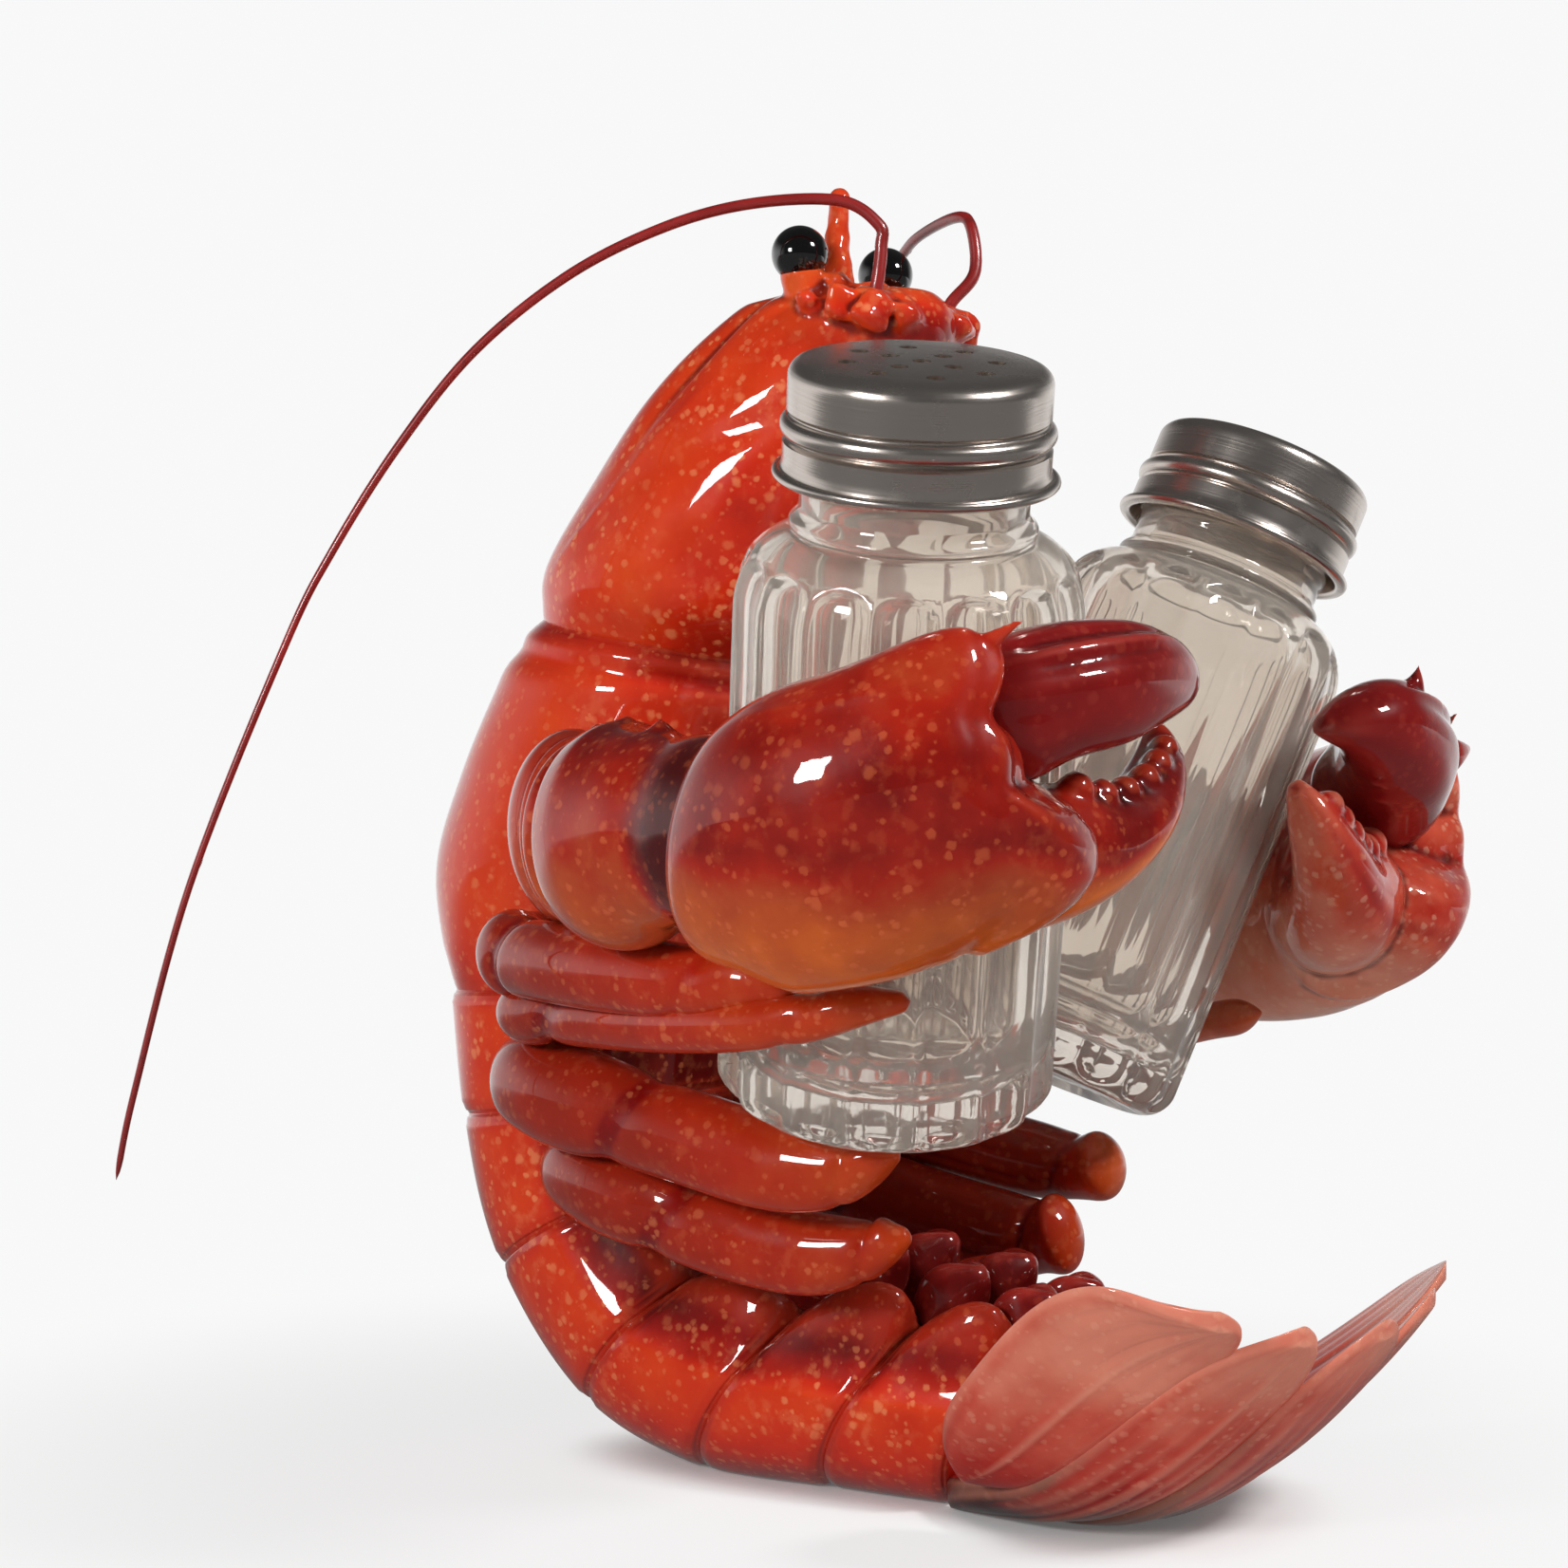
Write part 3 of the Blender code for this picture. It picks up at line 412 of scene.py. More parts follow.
def keep(mesh, name, values):
    """Stores one number per vertex for the paint to read."""
    layer = mesh.attributes.new(name, "FLOAT", "POINT")
    layer.data.foreach_set("value", np.asarray(values, np.float32))


def piece(name, solids, node, body, finish, fade=None, melt=False, place=None):
    """Makes one finished piece that stands for a solid and rides on its body."""
    obj = put(name, merged(name, solids))
    if melt:
        melt_skins(obj)
    mesh = obj.data
    mesh.name = name
    bm = bmesh.new()
    bm.from_mesh(mesh)
    bmesh.ops.recalc_face_normals(bm, faces=bm.faces)
    bm.to_mesh(mesh)
    bm.free()
    mesh.shade_smooth()
    mesh.materials.clear()
    mesh.materials.append(finish)
    if fade:
        points = numbers(mesh.vertices, "co", 3)
        normals = numbers(mesh.vertices, "normal", 3)
        soft = relaxed(points, numbers(mesh.edges, "vertices", 2), CREASE_ROUNDS)
        # The crease number steers the wash and painted shade in grooves, and the painted highlight on ridges.
        keep(mesh, "crease", np.clip(((soft - points) * normals).sum(axis=1) / CREASE_DEPTH, -1, 1))
        keep(mesh, "fade", np.clip(fade(points, normals), 0, 1))
    if place:
        obj.matrix_world = place
    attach(obj, body)
    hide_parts(node)
    return obj


print("grooves count as full at", CREASE_DEPTH * 1000, "mm")

# %% [markdown]
# ## Painted resin
# The castings are airbrushed from dark to light, spattered with a paler paint from a stiff brush, washed with dark
# paint that stays in the grooves, and dipped in clear lacquer. Each of these is one mask. The airbrush follows the
# number called fade on the mesh, which on some pieces also carries painted shade and painted light. The wash follows
# the one called crease and also stands for painted shade in the grooves; the same number puts a painted highlight
# on the ridges. The lacquer is the shader's coat.

# %% Lacquered paint
FLECK_SCALE = 780.0
BLOT_SCALE = 430.0
MOTTLE_SCALE = 480.0
LUMP_SCALE = 420.0
CLOUD_SCALE = 130.0
DRIFT_SCALE = 70.0
DENT_SCALE = 60.0
CLOUD_SHIFT = 0.55
# How much the groove wash with its painted shade, and the painted highlight on ridges, cover the paint.
WASH_AND_SHADE_COVER = 0.85
RIDGE_HIGHLIGHT_COVER = 0.35


def spatter(graph, place, scale, reach):
    """Spots of every size up to a limit, some of them missing."""
    ragged = graph.noise(place, scale * 1.6, 2.0, "Color")
    place = graph.node("ShaderNodeVectorMath", {"operation": "MULTIPLY_ADD"},
                       {0: ragged, 1: (0.5 / scale,) * 3, 2: place})
    cell = graph.node("ShaderNodeTexVoronoi", None, {"Vector": place, "Scale": scale})
    chance = graph.node("ShaderNodeSeparateColor", None, {0: cell.twin("Color")})
    return (chance * reach - cell).ease(0.0, 0.24)


def painted_resin(name, stops, fleck, amount, wash_and_shade, rim, gloss=1.0):
    """Airbrushed resin with a spatter of flecks, a wash and painted shade in its grooves, a painted highlight on its
    ridges and a coat of lacquer.
    """
    graph, place = new_finish(name)
    stops = [(where, chip(*colour)) for where, *colour in stops]
    fade = graph.node("ShaderNodeAttribute", {"attribute_name": "fade"}, output="Fac")
    crease = graph.node("ShaderNodeAttribute", {"attribute_name": "crease"}, output="Fac")
    cloud = graph.noise(place, CLOUD_SCALE, 5.0)
    colour = graph.node("ShaderNodeValToRGB", {"stops": stops}, {0: fade + (cloud - 0.5) * CLOUD_SHIFT})
    drift = graph.noise(place, DRIFT_SCALE, 1.0).ease(0.28, 0.60)
    flecks = spatter(graph, place, FLECK_SCALE, 0.54) * (0.35 + drift * 0.65)
    blots = spatter(graph, place, BLOT_SCALE, 0.44) * (0.3 + drift * 0.7)
    mottle = graph.noise(place, MOTTLE_SCALE, 4.0).ease(0.52, 0.70) * drift * 0.4
    spots = flecks.most(blots).most(mottle)
    colour = graph.mix(spots * (0.4 + fade.ease(0.05, 0.50) * 0.6) * amount, colour, chip(*fleck))
    # A dark wash in the grooves, which also stands for painted shade there.
    colour = graph.mix(crease.ease(0.10, 0.85) * WASH_AND_SHADE_COVER, colour, chip(*wash_and_shade))
    # A painted highlight on the ridges, in the paint's rim colour.
    colour = graph.mix((0 - crease).ease(0.30, 1.0) * RIDGE_HIGHLIGHT_COVER, colour, chip(*rim))
    skin_lumps = cloud * 0.6 + graph.noise(place, LUMP_SCALE, 2.0) * 0.25 + spots * 0.12
    dents = graph.noise(place, DENT_SCALE, 1.0)
    graph.paint(Base_Color=colour, Roughness=0.32 + cloud * 0.12 + spots * 0.06,
                Normal=graph.bump(dents + skin_lumps * 0.06, 0.5, 0.005))
    graph.paint(Coat_Weight=gloss, Coat_Roughness=0.035, Coat_IOR=1.45, IOR=1.45, Specular_IOR_Level=0.08)
    return graph.owner


# Each paint lists its stops, its fleck colour and share, the wash colour that also paints shade into grooves, and
# the colour of the painted highlight on ridges.
ORANGE_FLECK = (242, 144, 94)
shell_paint = painted_resin(
    "shell_paint",
    [(0.0, 84, 9, 8), (0.3, 158, 22, 14), (0.55, 208, 44, 18), (0.8, 222, 66, 22),
     (1.0, 230, 92, 34)],
    ORANGE_FLECK, 0.64, (96, 12, 12), (206, 62, 34))
claw_paint = painted_resin(
    "claw_paint",
    [(0.0, 72, 7, 8), (0.25, 124, 15, 10), (0.45, 164, 32, 14), (0.62, 172, 66, 32),
     (0.82, 196, 88, 32), (1.0, 224, 106, 22)],
    (228, 116, 70), 0.36, (46, 4, 7), (204, 72, 44))
pale_claw_paint = painted_resin(
    "pale_claw_paint",
    [(0.0, 104, 10, 11), (0.25, 166, 32, 22), (0.5, 210, 88, 62), (0.75, 226, 142, 114),
     (1.0, 234, 176, 152)],
    (240, 186, 154), 0.40, (70, 8, 9), (222, 132, 104))
leg_paint = painted_resin(
    "leg_paint",
    [(0.0, 84, 8, 8), (0.25, 128, 14, 11), (0.45, 168, 30, 13), (0.65, 184, 62, 20),
     (0.85, 192, 88, 34), (1.0, 216, 122, 92)],
    ORANGE_FLECK, 0.40, (52, 5, 7), (186, 56, 24))
fan_paint = painted_resin(
    "fan_paint",
    [(0.0, 70, 8, 9), (0.18, 142, 20, 17), (0.4, 180, 44, 34), (0.7, 204, 86, 68),
     (1.0, 222, 134, 110)],
    (234, 166, 138), 0.32, (104, 22, 22), (236, 164, 138), gloss=0.55)
maroon_paint = painted_resin(
    "maroon_paint",
    [(0.0, 64, 6, 8), (0.5, 104, 12, 12), (1.0, 150, 28, 20)],
    (188, 70, 50), 0.3, (34, 3, 6), (170, 52, 44))
thumb_paint = painted_resin(
    "thumb_paint",
    [(0.0, 84, 8, 10), (0.5, 138, 20, 20), (1.0, 178, 46, 40)],
    (206, 92, 66), 0.16, (44, 4, 7), (196, 74, 62))
print("resin paints:", [m.name for m in (shell_paint, claw_paint, pale_claw_paint, leg_paint, fan_paint,
                                         maroon_paint, thumb_paint)])

# %% [markdown]
# ## Jars
# Each jar is pressed glass: a thick wall, sixteen shallow flutes that end in round tops under the shoulder, and a
# threaded neck. The glass is made as one closed skin that runs up the outside and down the inside, because light
# has to pass both surfaces to bend as it does in a real jar.

# %% Where the jars stand
SIDES = {"right": -1, "left": 1}
JAR_FOOT = {"right": (-0.0208, -0.0290, 0.0516), "left": (0.0209, -0.0232, 0.0511)}
JAR_LEAN = {"right": (14.6, 13.0), "left": (18.7, 15.5)}


def jar_matrix(side):
    """Stands a jar in its place: Z runs up the jar and X leads out from the lobster."""
    out, front = JAR_LEAN[side]
    axis = Vector((SIDES[side] * tan(radians(out)), -tan(radians(front)), 1)).normalized()
    outward = Vector((SIDES[side], 0, 0))
    outward = (outward - axis * outward.dot(axis)).normalized()
    turn = Matrix((outward, axis.cross(outward), axis)).transposed().to_4x4()
    return Matrix.Translation(JAR_FOOT[side]) @ turn


print("right jar leans to", [round(value, 3) for value in jar_matrix("right").col[2][:3]])

# %% Glass
graph, place = new_finish("pressed_glass")
smear = graph.noise(place, 130.0, 4.0).ease(0.45, 0.75)
ripple = graph.noise(place, 95.0, 1.0)
tint = graph.mix(smear * 0.5, chip(246, 238, 228), chip(238, 227, 215))
graph.paint(Base_Color=tint, Roughness=0.03 + smear * 0.06, Normal=graph.bump(ripple, 0.10, 0.0015))
graph.paint(Transmission_Weight=0.84, IOR=1.48)
glass = graph.owner
print("glass finish:", glass.name)

# %% Fluted jar
JAR_RADIUS = 0.0200
JAR_WALL = 0.0024
JAR_FLOOR = 0.0055
FOOT_ROUND = 0.0040
PUNT = 0.0008
SHOULDER_START = 0.0600
SHOULDER_RISE = 0.0095
NECK_RADIUS = 0.0129
NECK_LENGTH = 0.0172
LIP_ROUND = 0.0008
FLUTES = 16
FLUTE_POINTS = 12
FLUTE_DEPTH = 0.0011
FLUTE_FOOT = 0.0030
FLUTE_TOP = 0.0628
FLUTE_ARCH = 0.0030
FLUTE_FLATNESS = 2.6
ARCH_EDGE = 0.0012
FOOT_EDGE = 0.0016
THREAD_HEIGHT = 0.00055
THREAD_PITCH = 0.0036
THREAD_FROM = 0.0035
THREAD_BELOW_RIM = 0.003
THREAD_RUNOUT = 0.002
NECK_FOOT = SHOULDER_START + SHOULDER_RISE
RIM = NECK_FOOT + NECK_LENGTH


def arc(centre, radii, start, end, count):
    """Lists points of an ellipse's arc in radius and height, the angles in degrees."""
    swing = np.radians(np.linspace(start, end, count))
    return np.stack([centre[0] + radii[0] * np.cos(swing), centre[1] + radii[1] * np.sin(swing)], axis=1)


def straight(start, end, count):
    """Lists points of a straight line in radius and height."""
    return np.linspace(start, end, count)


def jar_outline():
    """Lists radius and height up the outside and down the inside."""
    bore, inner = NECK_RADIUS - JAR_WALL, JAR_RADIUS - JAR_WALL
    rise = SHOULDER_RISE - JAR_WALL
    outside = np.vstack([
        straight((0.002, PUNT), (JAR_RADIUS - 2 * FOOT_ROUND, PUNT), 3),
        arc((JAR_RADIUS - FOOT_ROUND, FOOT_ROUND), (FOOT_ROUND, FOOT_ROUND), -90, 0, 12),
        straight((JAR_RADIUS, FOOT_ROUND + 0.002), (JAR_RADIUS, SHOULDER_START - 0.006), 10),
        straight((JAR_RADIUS, SHOULDER_START - 0.005), (JAR_RADIUS, SHOULDER_START - 0.0004), 10),
        arc((NECK_RADIUS, SHOULDER_START), (JAR_RADIUS - NECK_RADIUS, SHOULDER_RISE - 0.0012), 0, 82, 16),
        arc((NECK_RADIUS + 0.0002, NECK_FOOT - 0.0002), (0.0009, 0.0009), -60, 70, 7),
        straight((NECK_RADIUS, NECK_FOOT + 0.0016), (NECK_RADIUS, RIM - LIP_ROUND), 60),
        arc((NECK_RADIUS - LIP_ROUND, RIM - LIP_ROUND), (LIP_ROUND, LIP_ROUND), 15, 90, 5),
    ])
    inside = np.vstack([
        arc((bore + LIP_ROUND, RIM - LIP_ROUND), (LIP_ROUND, LIP_ROUND), 90, 180, 5),
        straight((bore, RIM - 0.002), (bore, NECK_FOOT), 8),
        arc((bore, SHOULDER_START), (inner - bore, rise), 80, 0, 12),
        straight((inner, SHOULDER_START - 0.003), (inner, JAR_FLOOR + FOOT_ROUND), 10),
        arc((inner - FOOT_ROUND, JAR_FLOOR + FOOT_ROUND), (FOOT_ROUND, FOOT_ROUND), 0, -90, 8),
        straight((inner - 2 * FOOT_ROUND, JAR_FLOOR), (0.002, JAR_FLOOR - 0.0004), 4),
    ])
    return outside, inside


def jar_skin():
    """Skins a jar with its flutes and its thread."""
    outside, inside = jar_outline()
    sides = FLUTES * FLUTE_POINTS
    turn = full_turn(sides)
    across = 2 * ((np.arange(sides) / FLUTE_POINTS) % 1) - 1
    hollow = 1 - np.abs(across) ** FLUTE_FLATNESS
    outline = np.vstack([outside, inside])
    radius, height = outline[:, :1], outline[:, 1:]
    outer = (np.arange(len(outline)) < len(outside))[:, None]
    top = FLUTE_TOP + FLUTE_ARCH * np.sqrt(1 - across ** 2)
    foot = FLUTE_FOOT - FLUTE_FOOT * np.sqrt(1 - across ** 2)
    shown = ramp(height, top, -ARCH_EDGE) * ramp(height, foot, FOOT_EDGE)
    shown = shown * shown * (3 - 2 * shown)
    wound = ((height - NECK_FOOT) / THREAD_PITCH - turn / (2 * pi)) % 1
    on_neck = ramp(height - NECK_FOOT, THREAD_FROM, THREAD_RUNOUT)
    on_neck = on_neck * ramp(height, RIM - THREAD_BELOW_RIM, -THREAD_RUNOUT)
    thread = THREAD_HEIGHT * np.clip(1.6 - 4.5 * np.abs(wound - 0.5), 0, 1) * on_neck
    radius = radius + outer * (thread - FLUTE_DEPTH * hollow * shown)
    return skin(np.stack([radius * np.cos(turn), radius * np.sin(turn),
                          np.broadcast_to(height, radius.shape)], axis=2))


for side in SIDES:
    jar = piece("glass_jar_" + side, [jar_skin()], "jar_" + side, side + "_shaker", glass,
                place=jar_matrix(side))
print("jar faces:", len(jar.data.polygons))

# %% [markdown]
# ## Caps
# A cap is spun from thin sheet steel: a slightly domed top with punched holes, a rolled corner, a groove, a rounded
# bead over the thread and a curled hem. It is turned on a lathe outline, and the holes are cut with a row of
# drills. Spinning leaves fine rings, so the roughness and the bump follow the distance from the axis.

# %% Spun steel
graph, place = new_finish("spun_steel")
parts = graph.node("ShaderNodeSeparateXYZ", None, {0: place})
flat = graph.node("ShaderNodeCombineXYZ", None, {"X": parts, "Y": parts.twin("Y")})
radius = graph.node("ShaderNodeVectorMath", {"operation": "LENGTH"}, {0: flat}, output="Value")
rings = graph.node("ShaderNodeCombineXYZ", None, {"X": radius, "Z": parts.twin("Z")})
lathe = graph.noise(rings, 5200.0, 2.0)
scuff = graph.noise(place, 210.0, 4.0).ease(0.5, 0.8)
graph.paint(Base_Color=graph.mix(lathe * 0.5 + scuff * 0.3, chip(216, 206, 198), chip(186, 176, 168)),
            Roughness=0.17 + lathe * 0.13 + scuff * 0.10, Normal=graph.bump(lathe, 0.10, 0.0002))
graph.paint(Metallic=0.96)
steel = graph.owner
print("steel finish:", steel.name)

# %% Spun caps
CAP_SHEET = 0.0006
CAP_HEIGHT = 0.0134
CAP_CORNER = 0.0018
CAP_CROWN = 0.0006
CAP_BORE = NECK_RADIUS + 0.0012
CAP_WALL = CAP_BORE + CAP_SHEET
CAP_TOP = RIM + 0.0003 + CAP_SHEET
CAP_MOUTH = CAP_TOP - CAP_HEIGHT
CAP_SIDES = 128
HOLE_RADIUS = 0.00105
HOLE_PITCH = 0.0042
HOLE_SIDES = 20
GROOVE_AT = CAP_TOP - 0.0061


def cap_outline():
    """Lists radius and height over the outside and back up the inside."""
    bead_low = GROOVE_AT - 0.0026
    outside = np.vstack([
        arc((0, CAP_TOP - CAP_CROWN), (CAP_WALL - CAP_CORNER, CAP_CROWN), 88, 45, 14),
        arc((CAP_WALL - CAP_CORNER, CAP_TOP - CAP_CORNER - 0.0002), (CAP_CORNER, CAP_CORNER), 80, 0, 9),
        straight((CAP_WALL, CAP_TOP - 0.0024), (CAP_WALL, GROOVE_AT + 0.0005), 6),
        arc((CAP_WALL, GROOVE_AT), (0.0005, 0.0004), 110, 250, 7),
        arc((CAP_WALL - 0.0002, (GROOVE_AT + bead_low) / 2), (0.0009, 0.0011), 75, -75, 12),
        arc((CAP_WALL + 0.0001, bead_low), (0.0004, 0.0003), 110, 250, 5),
        straight((CAP_WALL + 0.0003, bead_low - 0.0005), (CAP_WALL + 0.0003, CAP_MOUTH + 0.0020), 5),
        arc((CAP_WALL + 0.0008, CAP_MOUTH + 0.0007), (0.0006, 0.0006), 120, -90, 10),
    ])
    inside = np.vstack([
        arc((CAP_WALL + 0.0004, CAP_MOUTH + 0.0006), (0.0006, 0.0006), 270, 180, 5),
        straight((CAP_BORE, CAP_MOUTH + 0.0024), (CAP_BORE - 0.0004, GROOVE_AT), 5),
        straight((CAP_BORE - 0.0004, GROOVE_AT + 0.001), (CAP_BORE - 0.0004, CAP_TOP - CAP_CORNER), 4),
        straight((CAP_WALL - CAP_CORNER, CAP_TOP - CAP_SHEET), (0.0005, CAP_TOP - CAP_SHEET), 6),
    ])
    return np.vstack([outside, inside])


def turned(outline, sides):
    """Spins an outline of radius and height round Z."""
    turn = full_turn(sides)
    return skin(np.stack([np.outer(outline[:, 0], np.cos(turn)), np.outer(outline[:, 0], np.sin(turn)),
                          np.repeat(outline[:, 1:], sides, axis=1)], axis=2))


def drill_bit():
    """One straight drill for each hole."""
    shank = np.array([(HOLE_RADIUS, CAP_TOP - 0.002), (HOLE_RADIUS, CAP_TOP + 0.001)])
    points, faces = turned(shank, HOLE_SIDES)
    places = [(0.0, 0.0)]
    for ring, count in ((1, 4), (2, 8)):
        for i in range(count):
            turn = 2 * pi * i / count
            places.append((ring * HOLE_PITCH * cos(turn), ring * HOLE_PITCH * sin(turn)))
    return [(points + np.array((x, y, 0)), faces) for x, y in places]


def drilled(obj, bits, place):
    """Cuts all the holes at once, with the drills standing where the cap stands."""
    drill = put("drill", merged("drill", bits))
    drill.matrix_world = place
    cut = obj.modifiers.new("holes", "BOOLEAN")
    cut.operation, cut.solver, cut.object = "DIFFERENCE", "EXACT", drill
    mesh = bpy.data.meshes.new_from_object(obj.evaluated_get(bpy.context.evaluated_depsgraph_get()))
    obj.modifiers.clear()
    obj.data = mesh
    bpy.data.objects.remove(drill, do_unlink=True)
    mesh.set_sharp_from_angle(angle=radians(40))


for side in SIDES:
    cap = piece("steel_cap_" + side, [turned(cap_outline(), CAP_SIDES)], "cap_" + side, side + "_cap",
                steel, place=jar_matrix(side))
    drilled(cap, drill_bit(), jar_matrix(side))
print("cap faces:", len(cap.data.polygons))

# %% [markdown]
# ## Body
# The body is a row of shells along one curved spine, from the head down the back and forward under the figure as
# the tail. Every shell is drawn in at both ends, which leaves the dark grooves between them.

# %% The spine
SPINE = [
    (-0.0110, 0.1500, 0, 0.0090, 0.0130, 0.0120),
    (-0.0095, 0.1470, -6, 0.0125, 0.0145, 0.0150),
    (-0.0050, 0.1400, -14, 0.0155, 0.0170, 0.0170),
    (0.0010, 0.1315, -18, 0.0180, 0.0190, 0.0200),
    (0.0080, 0.1210, -18, 0.0200, 0.0200, 0.0220),
    (0.0135, 0.1130, -14, 0.0208, 0.0205, 0.0230),
    (0.0175, 0.1070, -11, 0.0190, 0.0185, 0.0210),
    (0.0220, 0.1000, -9, 0.0205, 0.0192, 0.0230),
    (0.0280, 0.0880, -4, 0.0215, 0.0200, 0.0240),
    (0.0320, 0.0760, 0, 0.0220, 0.0200, 0.0230),
    (0.0310, 0.0610, 3, 0.0208, 0.0187, 0.0190),
    (0.0295, 0.0455, 7, 0.0200, 0.0184, 0.0150),
    (0.0250, 0.0304, 28, 0.0195, 0.0180, 0.0120),
    (0.0135, 0.0175, 45, 0.0190, 0.0178, 0.0110),
    (-0.0035, 0.0130, 51, 0.0185, 0.0185, 0.0100),
    (-0.0208, 0.0125, 55, 0.0175, 0.0171, 0.0095),
    (-0.0360, 0.0120, 63, 0.0155, 0.0150, 0.0090),
]
NECK_GROOVE = 6
WAIST_GROOVE = 10
GROOVE_DEPTH = 0.0011
GROOVE_WIDTH = 0.1
SEAT_LAP = 0.0004
FLAP_SIZES = (0.0, 0.0010, 0.0028, 0.0068, 0.0105, 0.0085)
FLAP_ANGLE = 138
FLAP_SPREAD = 14
FLAP_TONE = 0.55
FLANK_TONE = 0.72
BACK_DEPTH = 0.14
BELLY_SHADE = 0.75
SPINE_SAMPLES = 60
spine_rows = through(SPINE, (len(SPINE) - 1) * SPINE_SAMPLES + 1)
spine_tilt = np.radians(spine_rows[:, 2])
spine_back = np.stack([0 * spine_tilt, np.cos(spine_tilt), -np.sin(spine_tilt)], axis=1)


def hill(value, middle, width):
    """A smooth hill of height 1."""
    return np.exp(-((value - middle) / width) ** 2)


def body_rings(first, last, count, sides, flap=0.0, relief=None):
    """Gives the rings of one shell between two grooves."""
    turn = 2 * pi * (np.arange(sides) + 0.5) / sides
    swing = np.where(turn > pi, 2 * pi - turn, turn)
    from_flap = (swing - radians(FLAP_ANGLE)) / radians(FLAP_SPREAD)
    rings = []
    for step in soft_steps(count):
        k = round((first + step * (last - first)) * SPINE_SAMPLES)
        _, _, tilt, half_width, back, belly = spine_rows[k]
        along = np.array((0, -sin(radians(tilt)), -cos(radians(tilt))))
        middle = np.array((0, *spine_rows[k][:2])) + along * SEAT_LAP * (step - 0.5)
        edge = min(1.0, step / GROOVE_WIDTH, (1 - step) / GROOVE_WIDTH)
        scale = 1 - GROOVE_DEPTH * (1 - sqrt(edge)) / half_width
        grow = flap * sqrt(sin(pi * step)) * 2.0 ** (-from_flap ** 2)
        lift = relief(step, swing) * sqrt(edge) if relief else 0.0
        across = (half_width * scale + 0.3 * grow + lift) * np.sin(turn)
        rise = (np.where(np.cos(turn) > 0, back, belly) * scale + 1.4 * grow + lift) * np.cos(turn)
        if spine_back[k][2] < 0:
            rise = np.minimum(rise, middle[2] / -spine_back[k][2])
        rings.append(middle + np.outer(across, (1, 0, 0)) + np.outer(rise, spine_back[k]))
    return rings


def shell_fade(points, normals):
    """Bright on the flanks, deeper red along the back, and nearly maroon on the belly with painted shade."""
    coarse = spine_rows[::10]
    near = ((points[:, None, 1:] - coarse[None, :, :2]) ** 2).sum(axis=2).argmin(axis=1)
    facing = (normals * spine_back[::10][near]).sum(axis=1)
    # The belly term is painted shade on the underside.
    return FLANK_TONE - BACK_DEPTH * np.clip(facing, 0, 1) - BELLY_SHADE * np.clip(-facing - 0.25, 0, 1)


def shaded_ends(first, last, count, sides, flap_tone=0.0):
    """Deepens a shell's fade with painted shade towards both ends by the grooves, darkens it on its flaps, and
    paints shade on the tail shells near the floor.
    """
    step = np.append(np.repeat(soft_steps(count), sides), (0, 1))
    k = np.round((first + step * (last - first)) * SPINE_SAMPLES).astype(int)

    def fade(points, normals):
        inward = ((spine_rows[k, :2] - points[:, 1:]) * spine_back[k, 1:]).sum(axis=1)
        on_flap = flap_tone * ramp(inward, 0.0015, 0.006)
        # Painted shade near the floor, on the tail shells.
        shade_by_floor = flap_tone * ramp(points[:, 2], 0.010, -0.012)
        # Painted shade at both ends of the shell, next to its grooves.
        ends = 0.34 * hill(step, 0, 0.11) + 0.22 * hill(step, 1, 0.07)
        return shell_fade(points, normals) - ends - on_flap - 0.5 * shade_by_floor

    return fade


print("spine length in samples:", len(spine_rows))

# %% [markdown]
# The rear shell of the carapace has a soft double roll under the neck and a shallow keel line down its back. The
# six tail shells are plain and swell at their sides into flaps, which grow towards the fan.

# %% Rear shell and tail
NECK_ROLL = 0.0004
KEEL_DEPTH = 0.0005
REAR_MESH = 72, 112
TAIL_MESH = 40, 144


def rear_relief(step, swing):
    """A double roll under the neck and a keel line down the back."""
    roll = NECK_ROLL * (hill(step, 0.06, 0.04) - 0.8 * hill(step, 0.15, 0.04) + 0.4 * hill(step, 0.23, 0.05))
    keel = KEEL_DEPTH * (hill(swing, 0.20, 0.07) - hill(swing, 0.0, 0.08)) * min(1.0, 4 * step)
    return roll + keel


ends = NECK_GROOVE, WAIST_GROOVE
piece("shell_rear", [skin(body_rings(*ends, *REAR_MESH, 0.0, rear_relief))], "carapace_rear", "lobster",
      shell_paint, shaded_ends(*ends, *REAR_MESH))
for k, flap in enumerate(FLAP_SIZES):
    ends = WAIST_GROOVE + k, WAIST_GROOVE + k + 1
    rings = body_rings(*ends, *TAIL_MESH, flap)
    piece(f"tail_shell_{k + 1}", [skin(rings)], f"tail_segment_{k + 1}", "lobster",
          shell_paint, shaded_ends(*ends, *TAIL_MESH, FLAP_TONE))
print("tail shells:", len(FLAP_SIZES))

# %% [markdown]
# ## Head
# The head carries a knobbly beak between the eyes, two eye stalks with collars, two sockets for the feelers and a
# brow of small lumps. They are all melted into the head's shell. A ridge with a deep slot under it runs back from
# each eye.

